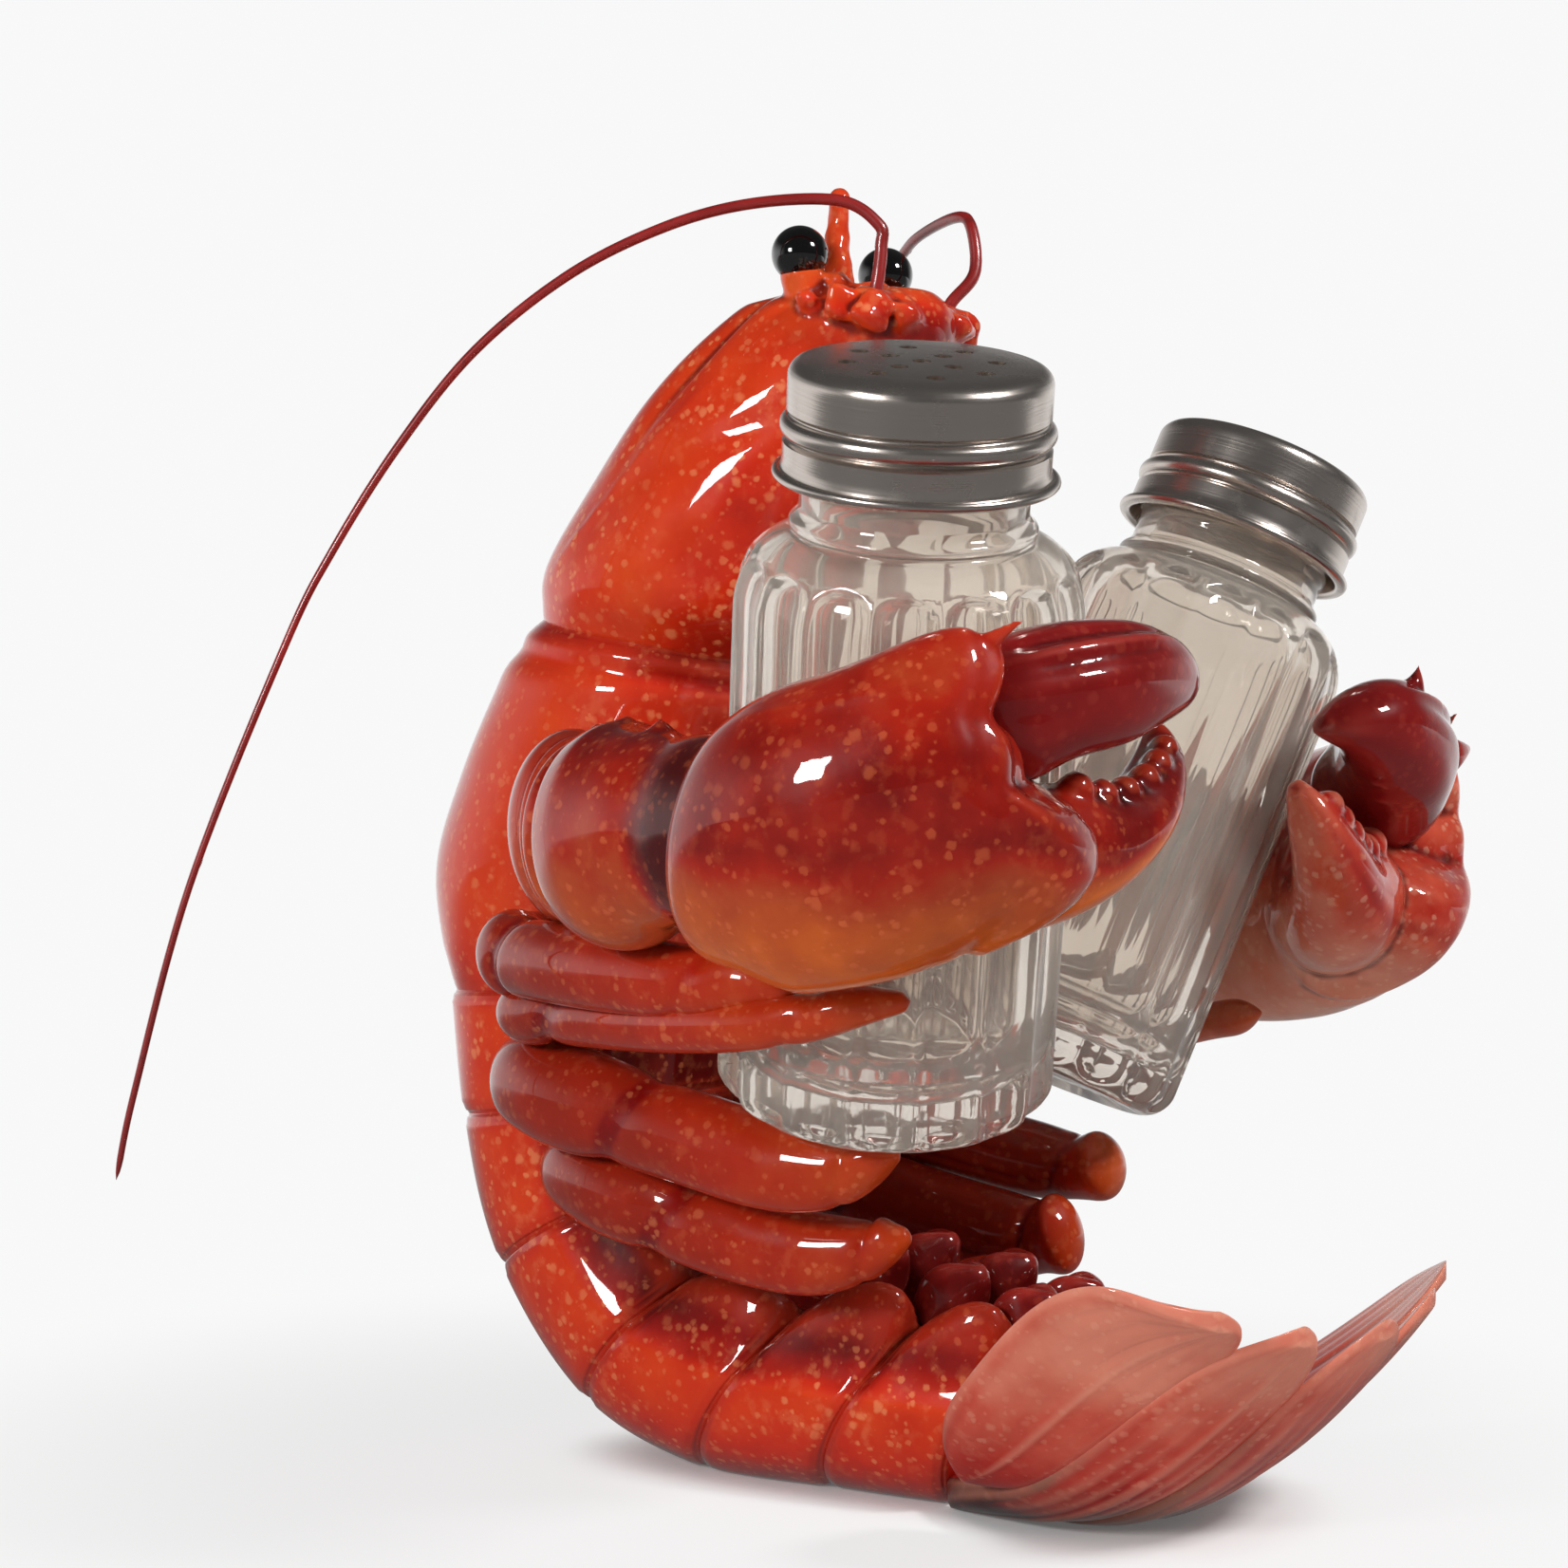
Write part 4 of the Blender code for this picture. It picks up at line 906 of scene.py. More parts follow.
# %% Beak, stalks and lumps
BEAK_BASE = (0.0, -0.0075, 0.1460)
BEAK_TIP = (0.0, -0.0087, 0.1630)
EYE_RADIUS = 0.0036
EYE_PLACE = (0.0098, -0.0093, 0.1544)
STALK_FOOT = (0.0085, -0.0098, 0.1450)
SOCKET_FOOT = (0.0078, -0.0170, 0.1420)
SOCKET_TOP = (0.0086, -0.0200, 0.1495)
BROW_LUMPS = [
    (0.0033, -0.0163, 0.1490, 0.0026), (0.0077, -0.0138, 0.1505, 0.0018), (0.0117, -0.0168, 0.1476, 0.0022),
    (0.0048, -0.0208, 0.1478, 0.0017), (0.0105, -0.0205, 0.1460, 0.0025), (0.0008, -0.0195, 0.1476, 0.0021),
    (0.0127, -0.0123, 0.1480, 0.0015), (0.0062, -0.0228, 0.1460, 0.0021), (0.0027, -0.0118, 0.1508, 0.0014),
]


def head_relief(step, swing):
    """A ridge with a slot under it, a seam line and a fold on each cheek."""
    back = ramp(step, 0.02, 0.08) * ramp(step, 0.62, -0.25)
    ridge = 0.0005 * hill(swing, 0.80, 0.16) - 0.0011 * hill(swing, 1.08, 0.06) + 0.0002 * hill(swing, 1.30, 0.15)
    seam = 0.00035 * hill(swing, 1.75 - 0.9 * step, 0.035) * ramp(step, 0.3, 0.1)
    fold = 0.0005 * hill(step, 0.50 - 0.25 * (swing - 1.7), 0.045) * hill(swing, 1.75, 0.45)
    return ridge * back + seam * ramp(step, 0.85, -0.1) - fold


def between(start, end, *radii):
    """Lists stations of a round peg from one point to another."""
    shares = np.linspace(0, 1, len(radii))[:, None]
    line = np.asarray(start) + shares * (np.asarray(end) - np.asarray(start))
    return np.hstack([line, np.array(radii)[:, None], np.array(radii)[:, None]])


def mirrored(side, point):
    """Puts a point of the left side on either side."""
    return np.array((SIDES[side] * point[0], *point[1:3]))


def lump(centre, radius, k):
    """A ball pressed out of shape, each one in its own way."""
    points, faces = bead((0, 0, 0), radius)
    dent = np.sin(points / radius @ (3.1, 1.7, 2.3) + k) * np.sin(points / radius @ (1.3, 2.9, -2.1) + 2 * k)
    return points * (1 + 0.30 * dent)[:, None] * (1.2, 0.9, 1.0) + centre, faces


def knobbly(share, turn):
    """Small knobs along the beak."""
    return 0.0003 * np.sin(9 * pi * share) * np.sin(2 * turn + 3 * pi * share)

# %% The melted head
head_skins = [skin(body_rings(0, NECK_GROOVE, 84, 120, 0.0, head_relief)),
              rod(between(BEAK_BASE, BEAK_TIP, 0.0036, 0.0031, 0.0024, 0.0019, 0.0014, 0.0016), 30, 20, knobbly),
              bead(BEAK_TIP, 0.0015)]
for side in SIDES:
    eye, foot = mirrored(side, EYE_PLACE), mirrored(side, STALK_FOOT)
    head_skins.append(rod(between(foot, eye, 0.0034, 0.0030, 0.0026, 0.0029, 0.0022), 20, 20))
    low, top = mirrored(side, SOCKET_FOOT), mirrored(side, SOCKET_TOP)
    head_skins.append(rod(between(low, top, 0.0034, 0.0027, 0.0022, 0.0027, 0.0024), 20, 20))
    for k, (*place, size) in enumerate(BROW_LUMPS):
        head_skins.append(lump(mirrored(side, place), size, k))


def head_fade(points, normals):
    """Orange on the beak and brow, as the shell elsewhere."""
    brow = ramp(points[:, 2], 0.1440, 0.008) * ramp(points[:, 1], -0.0055, -0.006)
    return shell_fade(points, normals) * (1 - brow) + brow * 0.98


head = piece("shell_head", head_skins, "carapace_front", "lobster", shell_paint, head_fade,
             melt=True)
print("head faces:", len(head.data.polygons))

# %% [markdown]
# ## Eyes and feelers
# The eyes are polished black beads glued on their stalks, each with the small flat where it was held. The feelers
# are bent wires, dipped in red paint that left runs and small barbs.

# %% Black beads
graph, place = new_finish("black_bead")
dust = spatter(graph, place, 900.0, 0.16)
haze = graph.noise(place, 260.0)
graph.paint(Base_Color=graph.mix(dust * 0.5, chip(10, 9, 9), chip(52, 44, 40)), Roughness=0.05 + haze * 0.05)
graph.paint(Coat_Weight=1.0, Coat_Roughness=0.02, Coat_IOR=1.6)
black = graph.owner


def eye_skin(side):
    """A bead whose lower pole is ground flat where it sits on its stalk."""
    points, faces = bead((0, 0, 0), EYE_RADIUS, 48)
    points[:, 2] = np.maximum(points[:, 2], -0.86 * EYE_RADIUS)
    seat = Vector(mirrored(side, EYE_PLACE) - mirrored(side, STALK_FOOT)).to_track_quat("Z", "Y").to_matrix()
    return points @ np.array(seat).T + mirrored(side, EYE_PLACE), faces


for side in SIDES:
    piece("eye_bead_" + side, [eye_skin(side)], "eye_" + side, "lobster", black)
print("eye radius in mm:", EYE_RADIUS * 1000)

# %% Painted wires
graph, place = new_finish("dipped_wire")
runs = graph.noise(place, 160.0, 3.0)
worn = graph.noise(place, 700.0, 2.0).ease(0.62, 0.75)
red = graph.mix(runs, chip(104, 14, 16), chip(166, 34, 30))
graph.paint(Base_Color=graph.mix(worn * 0.45, red, chip(70, 26, 22)), Roughness=0.26 + runs * 0.2,
            Normal=graph.bump(runs, 0.25, 0.0004))
graph.paint(Coat_Weight=0.5, Coat_Roughness=0.12)
wire = graph.owner

FEELER_RADIUS = 0.00088
FEELER_TIP = 0.0004
FEELER_HOLE = 0.0047
FEELER_BARBS = (0.40, 0.66, 0.85)
FEELER_ROUTES = {
    "right": [
        (-0.0083, -0.0205, 0.1545), (-0.0086, -0.0203, 0.1572), (-0.0112, -0.0161, 0.1602),
        (-0.0174, -0.0070, 0.1598), (-0.0234, 0.0019, 0.1569), (-0.0300, 0.0117, 0.1510),
        (-0.0365, 0.0214, 0.1416), (-0.0418, 0.0292, 0.1298), (-0.0463, 0.0360, 0.1169),
        (-0.0496, 0.0409, 0.1052), (-0.0562, 0.0506, 0.0758), (-0.0601, 0.0564, 0.0499),
        (-0.0614, 0.0583, 0.0388)],
    "left": [
        (0.0110, -0.0222, 0.1537), (0.0120, -0.0210, 0.1600), (0.0135, -0.0176, 0.1616),
        (0.0200, -0.0078, 0.1610), (0.0260, -0.0003, 0.1590), (0.0320, 0.0117, 0.1535),
        (0.0375, 0.0214, 0.1430), (0.0423, 0.0292, 0.1305), (0.0465, 0.0360, 0.1172)],
}
FEELER_ROUTES["left"] += [(-x, y, z) for x, y, z in FEELER_ROUTES["right"][9:]]


def feeler_skins(side):
    """A wire along its route, with barbs where the paint ran."""
    top = mirrored(side, SOCKET_TOP)
    run = top - mirrored(side, SOCKET_FOOT)
    start = top - run / np.linalg.norm(run) * FEELER_HOLE
    path = through([tuple(start), tuple(top)] + FEELER_ROUTES[side], 150)
    radii = np.linspace(FEELER_RADIUS, FEELER_TIP, len(path))
    radii[-3:] *= (0.9, 0.7, 0.35)
    skins = [rod(np.column_stack([path, radii, radii]), 150, 10)]
    for share in FEELER_BARBS:
        k = int(share * len(path))
        out = np.cross(path[k + 1] - path[k], (0, 0, 1))
        out = out / np.linalg.norm(out) * 0.0009 + (path[k - 2] - path[k]) * 0.3
        skins.append(rod(between(path[k], path[k] + out, radii[k], 0.00045, 0.00015), 6, 8))
    return skins


for side in SIDES:
    piece("feeler_wire_" + side, feeler_skins(side), "feeler_" + side, "lobster", wire)
print("barbs on each feeler:", len(FEELER_BARBS))

# %% [markdown]
# ## Claws
# Each claw is modelled round its own jar: a station gives the angle round the jar, the height up it, and the claw's
# size there. So the claw hugs the glass without touching it. The palm ends in a slanted, notched edge, and both
# fingers come out from under it.

# %% Round a jar
JAR_CLEARANCE = 0.0004
CLAW_BULK = {"right": 1.0, "left": 1.14}
CLAW_DROP = {"right": 0.0, "left": 0.0045}
FINGER_GAPE = {"right": 0.0, "left": 0.0050}
CLAW_LEVEL = {"right": 0.0, "left": -0.2}
# Painted light on the shaded underside of the fixed finger: positive on the right claw; on the left claw a negative
# value darkens it.
FINGER_UNDERSIDE_LIGHT = {"right": 0.8, "left": -0.30}
CLAW_LEVELS = (-1.0, -0.75, -0.4, -0.15, 0.1, 0.5, 1.0)
CLAW_FADES = (1.0, 0.90, 0.74, 0.56, 0.30, 0.32, 0.44)
PALM = [
    (-8, 0.0382, 0.0078, 0.0055, 0.0005), (-7, 0.0384, 0.0106, 0.0080, 0.0002),
    (-2, 0.0398, 0.0136, 0.0100, 0.0000), (8, 0.0421, 0.0157, 0.0113, 0.0000), (20, 0.0434, 0.0176, 0.0123, 0.0000),
    (38, 0.0456, 0.0188, 0.0125, 0.0000), (50, 0.0458, 0.0176, 0.0118, 0.0005),
    (57, 0.0447, 0.0156, 0.0108, 0.0008), (62, 0.0438, 0.0130, 0.0094, 0.0014),
    (64.5, 0.0434, 0.0098, 0.0074, 0.0030), (65.5, 0.0432, 0.0050, 0.0040, 0.0060),
]
FIXED_FINGER = [
    (48, 0.0402, 0.0078, 0.0070, 0.0020), (58, 0.0400, 0.0080, 0.0074, 0.0018),
    (70, 0.0402, 0.0074, 0.0068, 0.0025), (82, 0.0402, 0.0054, 0.0056, 0.0040),
    (96, 0.0425, 0.0040, 0.0044, 0.0055), (107, 0.0458, 0.0028, 0.0030, 0.0065),
    (113, 0.0485, 0.0012, 0.0014, 0.0070),
]
MOVING_FINGER = [
    (44, 0.0572, 0.0043, 0.0055, 0.0020), (54, 0.0583, 0.0059, 0.0069, 0.0015),
    (66, 0.0587, 0.0066, 0.0072, 0.0015), (78, 0.0587, 0.0065, 0.0066, 0.0025),
    (90, 0.0582, 0.0057, 0.0056, 0.0038), (101, 0.0567, 0.0045, 0.0046, 0.0050),
    (109, 0.0542, 0.0030, 0.0032, 0.0060), (113, 0.0520, 0.0012, 0.0014, 0.0070),
]


def claw_rows(side, stations, gape=0.0):
    """Turns stand-off into distance from the jar's axis, and opens a finger towards its tip."""
    bulk, first, last = CLAW_BULK[side], stations[0][0], stations[-1][0]
    return [(angle, up - CLAW_DROP[side] + gape * (angle - first) / (last - first), tall * bulk, thick * bulk,
             JAR_RADIUS + JAR_CLEARANCE + off + thick * bulk) for angle, up, tall, thick, off in stations]


def round_jar(side, angle, height, distance):
    """Gives the world points at angles, heights and distances round a jar's axis."""
    swing = np.radians(angle)
    local = np.stack(np.broadcast_arrays(distance * np.cos(swing), -SIDES[side] * distance * np.sin(swing), height),
                     axis=-1)
    matrix = np.array(jar_matrix(side))
    return local @ matrix[:3, :3].T + matrix[:3, 3]


def claw_skin(side, rows, sides=64, relief=None, slant=None):
    """Skins a claw part over its rows, with an optional relief and a slant of its rings."""
    turn = full_turn(sides)
    angle, up, tall, thick, distance = (rows[:, i:i + 1] for i in range(5))
    lift = relief(angle, turn) if relief else 0.0
    lean = slant(angle, tall * np.sin(turn)) if slant else 0.0
    return skin(round_jar(side, angle + lean, up + (tall + lift) * np.sin(turn),
                          distance + (thick + lift) * np.cos(turn)))


def row_at(rows, angle):
    """Finds the row nearest to an angle."""
    return rows[np.abs(rows[:, 0] - angle).argmin()]


def claw_fade(side):
    """Darkest across the middle, a little redder on top, orange below, with dark fingers, and painted light on the
    shaded underside of the right claw's fixed finger; on the left claw that underside is darker instead.
    """
    rows = through(claw_rows(side, PALM[:7]) + claw_rows(side, FIXED_FINGER[2:]), 200)
    back = np.linalg.inv(np.array(jar_matrix(side)))

    def fade(points, normals):
        local = points @ back[:3, :3].T + back[:3, 3]
        angle = np.degrees(np.arctan2(-SIDES[side] * local[:, 1], local[:, 0]))
        middle = np.interp(angle, rows[:, 0], rows[:, 1])
        tall = np.interp(angle, rows[:, 0], rows[:, 2])
        level = (local[:, 2] - middle) / tall
        on_finger = ramp(angle, 66, 16)
        palm_fade = np.interp(level - CLAW_LEVEL[side], CLAW_LEVELS, CLAW_FADES)
        # The finger term paints light onto the shaded underside of the right fixed finger, and darkens it on the
        # left.
        return palm_fade + on_finger * (FINGER_UNDERSIDE_LIGHT[side] * np.clip(0.2 - level, 0, 1)
                                        - 0.65 * palm_fade * np.clip(level, 0, 1))

    return fade


print("palm stands off", JAR_CLEARANCE * 1000, "mm from the glass")

# %% [markdown]
# A palm is four skins melted together: the palm itself with a seam along its upper edge, the fixed finger, a thorn
# at the palm's front corner and a row of ball teeth. The moving finger has two long furrows and its own two teeth,
# and on the left claw two thorns.

# %% Palm edge, teeth and thorns
TOOTH_RADIUS = 0.0021
TEETH = (72, 79, 86, 93, 99, 104)
MOVING_TEETH = ((80, 0.0017), (88, 0.0015))
PALM_THORN = (46, 84, 0.0044, 0.0017, 9)
THUMB_THORNS = {"right": (), "left": ((86, 88, 0.0024, 0.0014, 3), (58, 40, 0.0052, 0.0030, -6))}
THORN_TAPER = np.array((1.2, 1.1, 0.9, 0.6, 0.35, 0.12))
EDGE_RISES = (-0.0188, -0.0130, -0.0105, -0.0085, -0.0060, -0.0020, 0.0020, 0.0045, 0.0062, 0.0078, 0.0104, 0.0120,
              0.0136, 0.0160, 0.0188)
EDGE_LEANS = (-8.0, -8.0, -5.5, -2.0, 1.0, 3.0, 2.0, -1.0, -5.0, -9.4, -8.6, -8.8, -11.5, -6.0, -4.0)
CLAW_PAINTS = {"right": claw_paint, "left": pale_claw_paint}


def palm_slant(angle, rise):
    """Leans the rings near the fingers, which leaves a lobe and two notches there."""
    near_edge = ramp(angle, 34, 26) ** 1.5
    return near_edge * np.interp(rise, EDGE_RISES, EDGE_LEANS)


def palm_relief(angle, turn):
    """A seam on top, a swollen lip and corner by the fingers, and a tucked underside."""
    seam = 0.0004 * hill(turn, 1.12, 0.045) * ramp(angle, 2, 8) * ramp(angle, 44, -6)
    lip = 0.0007 * hill(angle, 56, 3.5) - 0.0004 * hill(angle, 50, 3)
    corner = 0.0030 * ramp(angle, 18, 28) ** 1.3 * ramp(angle, 60, -6) * hill(turn, 1.5, 0.35)
    tuck = 0.0030 * ramp(angle, 18, 24) * np.clip(-np.sin(turn), 0, 1) ** 2
    return seam + corner - tuck + lip * (np.cos(turn) > -0.3)


def finger_relief(angle, turn):
    """Furrows on top and a thicker root below."""
    along = ramp(angle, 50, 10) * ramp(angle, 100, -14)
    furrows = 0.0008 * hill(turn, 1.25, 0.12) + 0.0006 * hill(turn, 0.72, 0.12) - 0.0004 * hill(turn, 0.98, 0.1)
    under = 0.0010 * hill(angle, 76, 20) + 0.0034 * hill(angle, 55, 9)
    return -furrows * along + under * np.clip(-np.sin(turn), 0, 1)


def thorn(side, rows, angle, turn, length, radius, sweep):
    """A small hooked spike on a claw: its angle round the jar, its turn round the claw, its size and its hook."""
    _, up, tall, thick, distance = row_at(rows, angle)
    turn = radians(turn)
    shares = np.linspace(-0.4, 1, len(THORN_TAPER))
    points = round_jar(side, angle + sweep * np.clip(shares, 0, 1) ** 1.5,
                       up + (tall + length * shares) * sin(turn), distance + (thick + length * shares) * cos(turn))
    radii = radius * THORN_TAPER
    return rod(np.column_stack([points, radii, radii]), 16, 14)

# %% Both claws
for side in SIDES:
    palm = through(claw_rows(side, PALM), 110)
    fixed = through(claw_rows(side, FIXED_FINGER), 60)
    skins = [claw_skin(side, palm, 96, palm_relief, palm_slant), claw_skin(side, fixed, 48),
             thorn(side, palm, *PALM_THORN)]
    for angle in TEETH:
        _, up, tall, _, distance = row_at(fixed, angle)
        size = TOOTH_RADIUS * CLAW_BULK[side] * (1.05 - 0.006 * (angle - 72))
        skins.append(bead(round_jar(side, angle, up + tall * 0.95, distance + 0.0006), size))
    piece("claw_" + side, skins, "claw_palm_" + side, "lobster", CLAW_PAINTS[side],
          claw_fade(side), melt=True)
    moving = through(claw_rows(side, MOVING_FINGER, FINGER_GAPE[side]), 70)
    skins = [claw_skin(side, moving, 72, finger_relief)]
    for angle, size in MOVING_TEETH:
        _, up, tall, _, distance = row_at(moving, angle)
        skins.append(bead(round_jar(side, angle, up - tall * 0.9, distance + 0.0008), size * CLAW_BULK[side]))
    skins += [thorn(side, moving, *spike) for spike in THUMB_THORNS[side]]
    piece("claw_thumb_" + side, skins, "claw_finger_" + side, "lobster", thumb_paint,
          lambda points, normals: 0.30 + 0.25 * np.clip(-normals[:, 2], 0, 1), melt=True)
print("teeth on each fixed finger:", len(TEETH))

# %% [markdown]
# ## Arms and wrists
# The arm comes round from behind the body and ends in a thick rolled cuff. The wrist sits in the cuff like a ball,
# with three small thorns on top and painted shade in the fold where the claw starts.

# %% Arm and wrist stations
ARM = [
    (0.0140, 0.0160, 0.0840, 0.0060, 0.0090), (0.0260, 0.0120, 0.0835, 0.0070, 0.0105),
    (0.0360, 0.0060, 0.0830, 0.0080, 0.0118), (0.0420, 0.0000, 0.0825, 0.0070, 0.0110),
    (0.0445, -0.0030, 0.0825, 0.0030, 0.0050),
]
WRIST = [
    (0.0440, -0.0020, 0.0825, 0.0050, 0.0070), (0.0475, -0.0070, 0.0823, 0.0088, 0.0116),
    (0.0510, -0.0140, 0.0822, 0.0096, 0.0124), (0.0545, -0.0215, 0.0830, 0.0088, 0.0110),
]
WRIST_MEETS = (-1, 0.0405, 0.0292)
WRIST_END = (0.0076, 0.0106)
WRIST_THORN = 0.0014
WRIST_THORN_SUNK = 0.0025
# How far from the claw's start the painted shade in the wrist's fold reaches, and how softly it ends.
FOLD_SHADE_REACH = 0.0105
FOLD_SHADE_SPAN = 0.004


def clear_of_jar(side, point, radius):
    """Moves a limb's centre out past the jar's wall, or down below its foot, whichever is nearer."""
    local = jar_matrix(side).inverted() @ Vector(point)
    distance = sqrt(local.x ** 2 + local.y ** 2)
    outward = JAR_RADIUS + JAR_CLEARANCE + radius - distance
    downward = local.z + radius + JAR_CLEARANCE
    if outward > 0 and downward > 0:
        if outward < downward:
            local.x *= 1 + outward / distance
            local.y *= 1 + outward / distance
        else:
            local.z -= downward
    return jar_matrix(side) @ local


def limb_rows(side, stations, drop=0.0, tall=1.0):
    """Places a limb's stations on one side, kept clear of the jar there."""
    rows = []
    for station in stations:
        place = clear_of_jar(side, mirrored(side, station) - np.array((0, 0, drop)), station[3] * tall)
        rows.append((*place, station[3], station[-1] * tall))
    return rows


def arm_relief(share, turn):
    """A rolled cuff behind a groove."""
    return 0.0012 * hill(share, 0.82, 0.06) - 0.0010 * hill(share, 0.66, 0.05)


def wrist_relief(share, turn):
    """A collar in the cuff, then a ball, then a fold at the claw."""
    cuff = 0.0007 * hill(share, 0.17, 0.05) - 0.0016 * hill(share, 0.27, 0.035)
    ball = 0.0008 * hill(share, 0.52, 0.16) - 0.0006 * hill(share, 0.84, 0.05)
    return cuff + ball


def limb_fade(low, high):
    """Fades a limb from its top to its underside."""
    return lambda points, normals: low + (high - low) * (0.5 - 0.5 * normals[:, 2])


def wrist_fade(palm_start):
    """Orange below, and darkened nearly to maroon with painted shade in the fold where the claw starts."""
    open_fade = limb_fade(0.26, 0.74)

    def fade(points, normals):
        from_palm = np.linalg.norm(points - palm_start, axis=1)
        # Painted shade in the fold: darker close to where the claw starts.
        return open_fade(points, normals) * ramp(from_palm, FOLD_SHADE_REACH, FOLD_SHADE_SPAN)

    return fade

# %% Both arms
for side in SIDES:
    piece("arm_cuff_" + side, [rod(limb_rows(side, ARM), 60, 64, arm_relief)], "arm_" + side, "lobster",
          claw_paint, limb_fade(0.30, 0.72))
    angle, up, distance = WRIST_MEETS
    palm_start = round_jar(side, angle, up - CLAW_DROP[side], distance)
    rows = limb_rows(side, WRIST) + [(*palm_start, *WRIST_END)]
    skins = [rod(rows, 70, 72, wrist_relief)]
    for x, y, z, _, tall in rows[1:-1]:
        foot, tip = (x, y, z + tall - WRIST_THORN_SUNK), (x, y, z + tall + WRIST_THORN)
        skins.append(rod(between(foot, tip, 0.0026, 0.0020, 0.0003), 10, 14))
    piece("wrist_ball_" + side, skins, "wrist_" + side, "lobster", claw_paint,
          wrist_fade(palm_start), melt=True)
print("wrist stations:", len(WRIST) + 1)

# %% [markdown]
# ## Legs
# Four walking legs on each side fold round the jars. Each is two bars pressed together, with a knuckle near the body
# and a pointed foot, so its skin gets long furrows, a groove at each joint and a thin end. The two lower legs on the
# far side end in blunt toes instead.

# %% Leg stations
LEGS = [
    [(0.0160, 0.0200, 0.0672, 0.0040), (0.0300, 0.0190, 0.0672, 0.0042), (0.0365, 0.0130, 0.0668, 0.0043),
     (0.0440, -0.0060, 0.0660, 0.0041), (0.0470, -0.0220, 0.0655, 0.0034), (0.0460, -0.0340, 0.0650, 0.0012)],
    [(0.0160, 0.0230, 0.0592, 0.0030), (0.0280, 0.0200, 0.0594, 0.0033), (0.0335, 0.0130, 0.0598, 0.0035),
     (0.0415, -0.0080, 0.0600, 0.0034), (0.0460, -0.0260, 0.0610, 0.0031), (0.0460, -0.0380, 0.0626, 0.0025),
     (0.0430, -0.0470, 0.0642, 0.0010)],
    [(0.0150, 0.0260, 0.0500, 0.0046), (0.0240, 0.0230, 0.0502, 0.0050), (0.0285, 0.0140, 0.0494, 0.0051),
     (0.0305, -0.0040, 0.0462, 0.0048), (0.0310, -0.0185, 0.0436, 0.0047), (0.0305, -0.0270, 0.0430, 0.0039),
     (0.0300, -0.0330, 0.0440, 0.0024), (0.0290, -0.0366, 0.0456, 0.0006)],
    [(0.0130, 0.0200, 0.0384, 0.0040), (0.0200, 0.0190, 0.0386, 0.0042), (0.0240, 0.0100, 0.0376, 0.0044),
     (0.0250, -0.0060, 0.0339, 0.0044), (0.0240, -0.0185, 0.0320, 0.0043), (0.0232, -0.0255, 0.0324, 0.0035),
     (0.0226, -0.0305, 0.0335, 0.0022), (0.0220, -0.0336, 0.0350, 0.0006)],
]
LEG_DROPS = {"right": (0.0, 0.0, 0.0, 0.0), "left": (0.0050, 0.0065, 0.0058, 0.0036)}
LEG_TALL = {"right": (1.15, 1.0, 1.22, 1.22), "left": (1.0, 1.0, 1.1, 1.35)}
LEG_DOME = {"right": 0.02, "left": 0.12}
TOE_RADIUS = 0.0036
FIRST_BLUNT_LEG = 2


def leg_relief(side):
    """A knuckle, furrows along the outer side and a shaped foot."""
    outer = 0.0 if side == "left" else pi

    def relief(share, turn):
        from_outer = np.angle(np.exp(1j * (turn - outer)))
        furrow = 0.0011 * hill(from_outer, -0.45, 0.22) + 0.0006 * hill(from_outer, 0.55, 0.18)
        furrow = furrow * ramp(share, 0.42, 0.05) * ramp(share, 0.78, -0.05)
        knuckle = 0.0006 * hill(share, 0.30, 0.07) - 0.0006 * hill(share, 0.39 + 0.02 * np.sin(turn), 0.02)
        if side == "left":
            furrow = 0.3 * furrow
            foot = 0.0008 * hill(share, 0.94, 0.07)
        else:
            foot = 0.0010 * hill(share, 0.90, 0.07) * (0.4 + 0.6 * np.sin(turn))
        return knuckle - furrow + foot - 0.0003 * hill(share, 0.79 + 0.04 * np.sin(turn), 0.02)

    return relief


def leg_fade(side):
    """Red with orange feet and painted shade on the side that faces the body; on the far side, painted shade keeps
    the legs maroon under the jar and painted light makes the toes pale.
    """
    def fade(points, normals):
        if side == "left":
            # On the far side, painted shade keeps the legs maroon under the jar, and painted light makes the toes
            # pale.
            return 0.10 + 0.90 * ramp(points[:, 1], -0.024, -0.010)
        forward = ramp(points[:, 1], 0.016, -0.05)
        # Painted shade on the side of each leg that faces the body.
        return 0.22 + 0.42 * forward ** 1.5 - 0.22 * np.clip(normals[:, 0], 0, 1)

    return fade


def blunt(stations):
    """Cuts a leg off at its last joint and keeps it thick there."""
    return [(*station[:3], max(station[3], TOE_RADIUS)) for station in stations[:-1]]

# %% All eight legs
for side in SIDES:
    for k, stations in enumerate(LEGS):
        if side == "left" and k >= FIRST_BLUNT_LEG:
            stations = blunt(stations)
        rows = limb_rows(side, stations, LEG_DROPS[side][k], LEG_TALL[side][k])
        skins = [rod(rows, 100, 40, leg_relief(side), LEG_DOME[side])]
        piece(f"walking_leg_{side}_{k + 1}", skins, f"leg_{side}_{k + 1}", "lobster", leg_paint,
              leg_fade(side))
print("legs:", 2 * len(LEGS))

# %% [markdown]
# ## Swimmerets
# Under the tail sit pairs of small paddles, painted nearly maroon, with painted light on the faces that turn up.
# Each is a leaf with a rolled rim on a short stem.

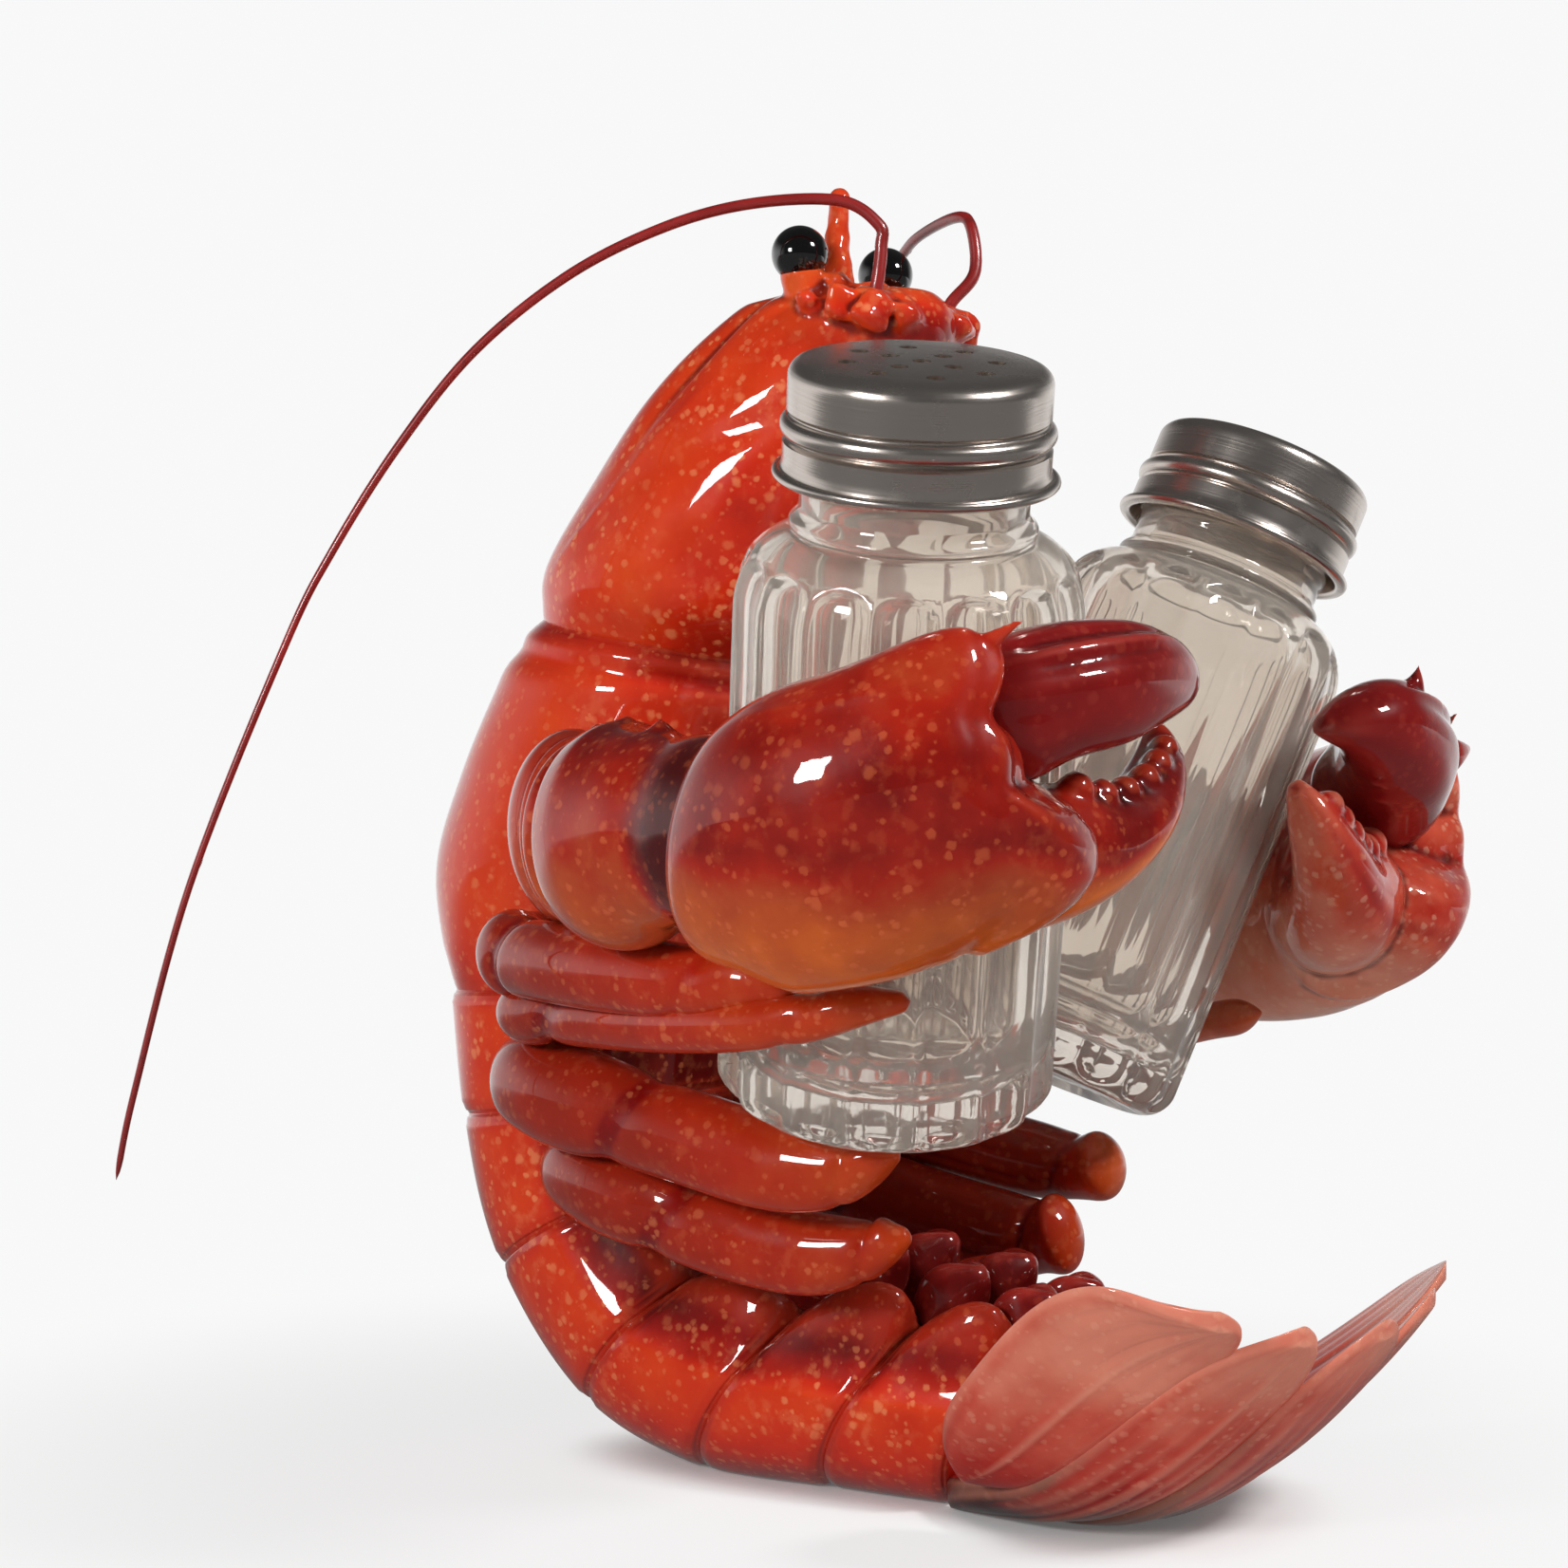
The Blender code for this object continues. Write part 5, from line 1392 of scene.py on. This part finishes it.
# %% Swimmerets
SWIMMERETS = [
    [(0.0050, -0.0120, 0.0190, 0.0028), (0.0056, -0.0170, 0.0262, 0.0040), (0.0062, -0.0225, 0.0305, 0.0024)],
    [(0.0050, -0.0245, 0.0180, 0.0028), (0.0055, -0.0290, 0.0250, 0.0040), (0.0060, -0.0340, 0.0288, 0.0024)],
    [(0.0050, -0.0345, 0.0175, 0.0026), (0.0053, -0.0390, 0.0236, 0.0036), (0.0056, -0.0440, 0.0262, 0.0022)],
]
PADDLE_DOME = 0.30


def paddle_relief(share, turn):
    """A trough between two rolled rims, on a drawn-in stem."""
    trough = 0.0016 * hill(turn, pi / 2, 0.55) - 0.0006 * hill(np.abs(turn - pi / 2), 0.95, 0.3)
    return 0.0005 * hill(share, 0.65, 0.2) - trough * hill(share, 0.68, 0.28) - 0.0006 * hill(share, 0.2, 0.06)


for side in SIDES:
    for k, stations in enumerate(SWIMMERETS):
        # Lighter on the faces that turn up: painted light from above.
        piece(f"paddle_{side}_{k + 1}", [rod(limb_rows(side, stations), 60, 48, paddle_relief, PADDLE_DOME)],
              f"swimmeret_{side}_{k + 1}", "lobster", maroon_paint,
              lambda points, normals: 0.35 + 0.4 * np.clip(normals[:, 2], 0, 1))
print("paddles:", 2 * len(SWIMMERETS))

# %% [markdown]
# ## Tail fan
# Five blades spread from the last tail shell. All of them are cut from one bowl: level at the root, curling up
# towards the rim and cupped from side to side. Each has a raised middle rib and fine rays, and a thin pale rim
# that is a painted highlight on its edges.

# %% The bowl of the fan
FAN_START = 0.0310
FAN_REACH = 0.0840
FAN_BEND = 0.0460
FAN_RIM = 0.0247
FAN_CURL = 2.1
FAN_THICKNESS = 0.0046
FAN_THINNING = 0.5
FAN_SINK = 0.0008
FAN_FLAT = 0.0050
FAN_CUP_RADIUS = {"right": 0.0220, "left": 0.0900}
FAN_CUP_FADE = 0.8
FAN_CLOSE = 0.24
BLADE_SQUARE = 0.6
BLADE_ROOT = 0.30
BLADE_ROUND = 0.82
BLADE_END = 0.99
BLADE_BLUNT = 2.6
TELSON = (0.0310, 0.0, 10.4)
INNER_BLADE = (0.0325, 16.0, 7.0)
OUTER_BLADE = (0.0455, 28.0, 7.0)
BLADE_LIFTS = {TELSON: -0.0004, INNER_BLADE: 0.0004, OUTER_BLADE: 0.0012}
RAY_DEPTH = 0.00014
RIB_HEIGHT = 0.0004
RELIEF_SHOWN = 0.8
BLADE_SIDES = 72


def fan_share(distance):
    """Tells how far along the fan a distance lies, from 0 to 1."""
    return (distance - FAN_START) / (FAN_REACH - FAN_START)


def fan_height(across, distance):
    """Gives the height of the fan's middle surface."""
    curl = max(0.0, (distance - FAN_BEND) / (FAN_REACH - FAN_BEND)) ** FAN_CURL
    radius = np.where(across < 0, FAN_CUP_RADIUS["right"], FAN_CUP_RADIUS["left"])
    cup = np.maximum(0.0, np.abs(across) - FAN_FLAT) ** 2 / (2 * radius)
    cup = cup * (1 - FAN_CUP_FADE * fan_share(distance) ** 5)
    return FAN_THICKNESS / 2 - FAN_SINK + FAN_RIM * curl + cup


def blade_skin(blade, mirror, count=64, sides=BLADE_SIDES):
    """Skins one blade with its rib and rays."""
    start, middle, half_angle = blade
    turn = full_turn(sides)
    rings = []
    for step in soft_steps(count):
        toward_end = max(0.0, (BLADE_ROOT - step) / BLADE_ROOT, (step - BLADE_ROUND) / (1 - BLADE_ROUND))
        spread = sqrt(1 - (BLADE_END * toward_end) ** BLADE_BLUNT)
        distance = start + step * (FAN_REACH - start)
        closing = 1 - FAN_CLOSE * fan_share(distance) ** 3
        thick = FAN_THICKNESS * (1 - FAN_THINNING * fan_share(distance))
        angle = np.radians(mirror * (middle + half_angle * spread * np.cos(turn)) * closing)
        across = distance * np.sin(angle)
        side = np.sign(np.sin(turn)) * np.abs(np.sin(turn)) ** BLADE_SQUARE / 2
        shown = sin(pi * step) ** 0.5
        relief = RIB_HEIGHT * hill(np.cos(turn), 0, 0.09) + RAY_DEPTH * np.cos(20 * np.cos(turn)) * step
        height = fan_height(across, distance) + BLADE_LIFTS[blade] + thick * side
        height = height + relief * shown * np.sign(np.sin(turn)) * RELIEF_SHOWN
        rings.append(np.stack([across, -distance * np.cos(angle), np.maximum(height, 0.0)], axis=1))
    return skin(rings)


def fan_fade(points, normals, sides=BLADE_SIDES):
    """Painted shade makes it nearly maroon at the floor and along each blade's sides, where the blades overlap;
    salmon towards the raised rims.
    """
    turn = 2 * pi * (np.arange(len(points)) % sides) / sides
    # Painted shade low down, where the blades meet the floor.
    height = ramp(points[:, 2], 0.002, 0.022)
    # Painted shade along each blade's sides, where the blades overlap.
    edge = ramp(np.abs(np.cos(turn)), 0.80, 0.16) * (1 - 0.7 * height)
    return 0.04 + 0.96 * height ** 0.8 - 0.5 * edge

# %% Five blades
blades = [("telson_blade", "telson", TELSON, 1)]
for side, mirror in SIDES.items():
    blades.append(("fan_inner_" + side, "inner_blade_" + side, INNER_BLADE, mirror))
    blades.append(("fan_outer_" + side, "outer_blade_" + side, OUTER_BLADE, mirror))
for name, node, blade, mirror in blades:
    piece(name, [blade_skin(blade, mirror)], node, "lobster", fan_paint, fan_fade)
print("blades:", len(blades))
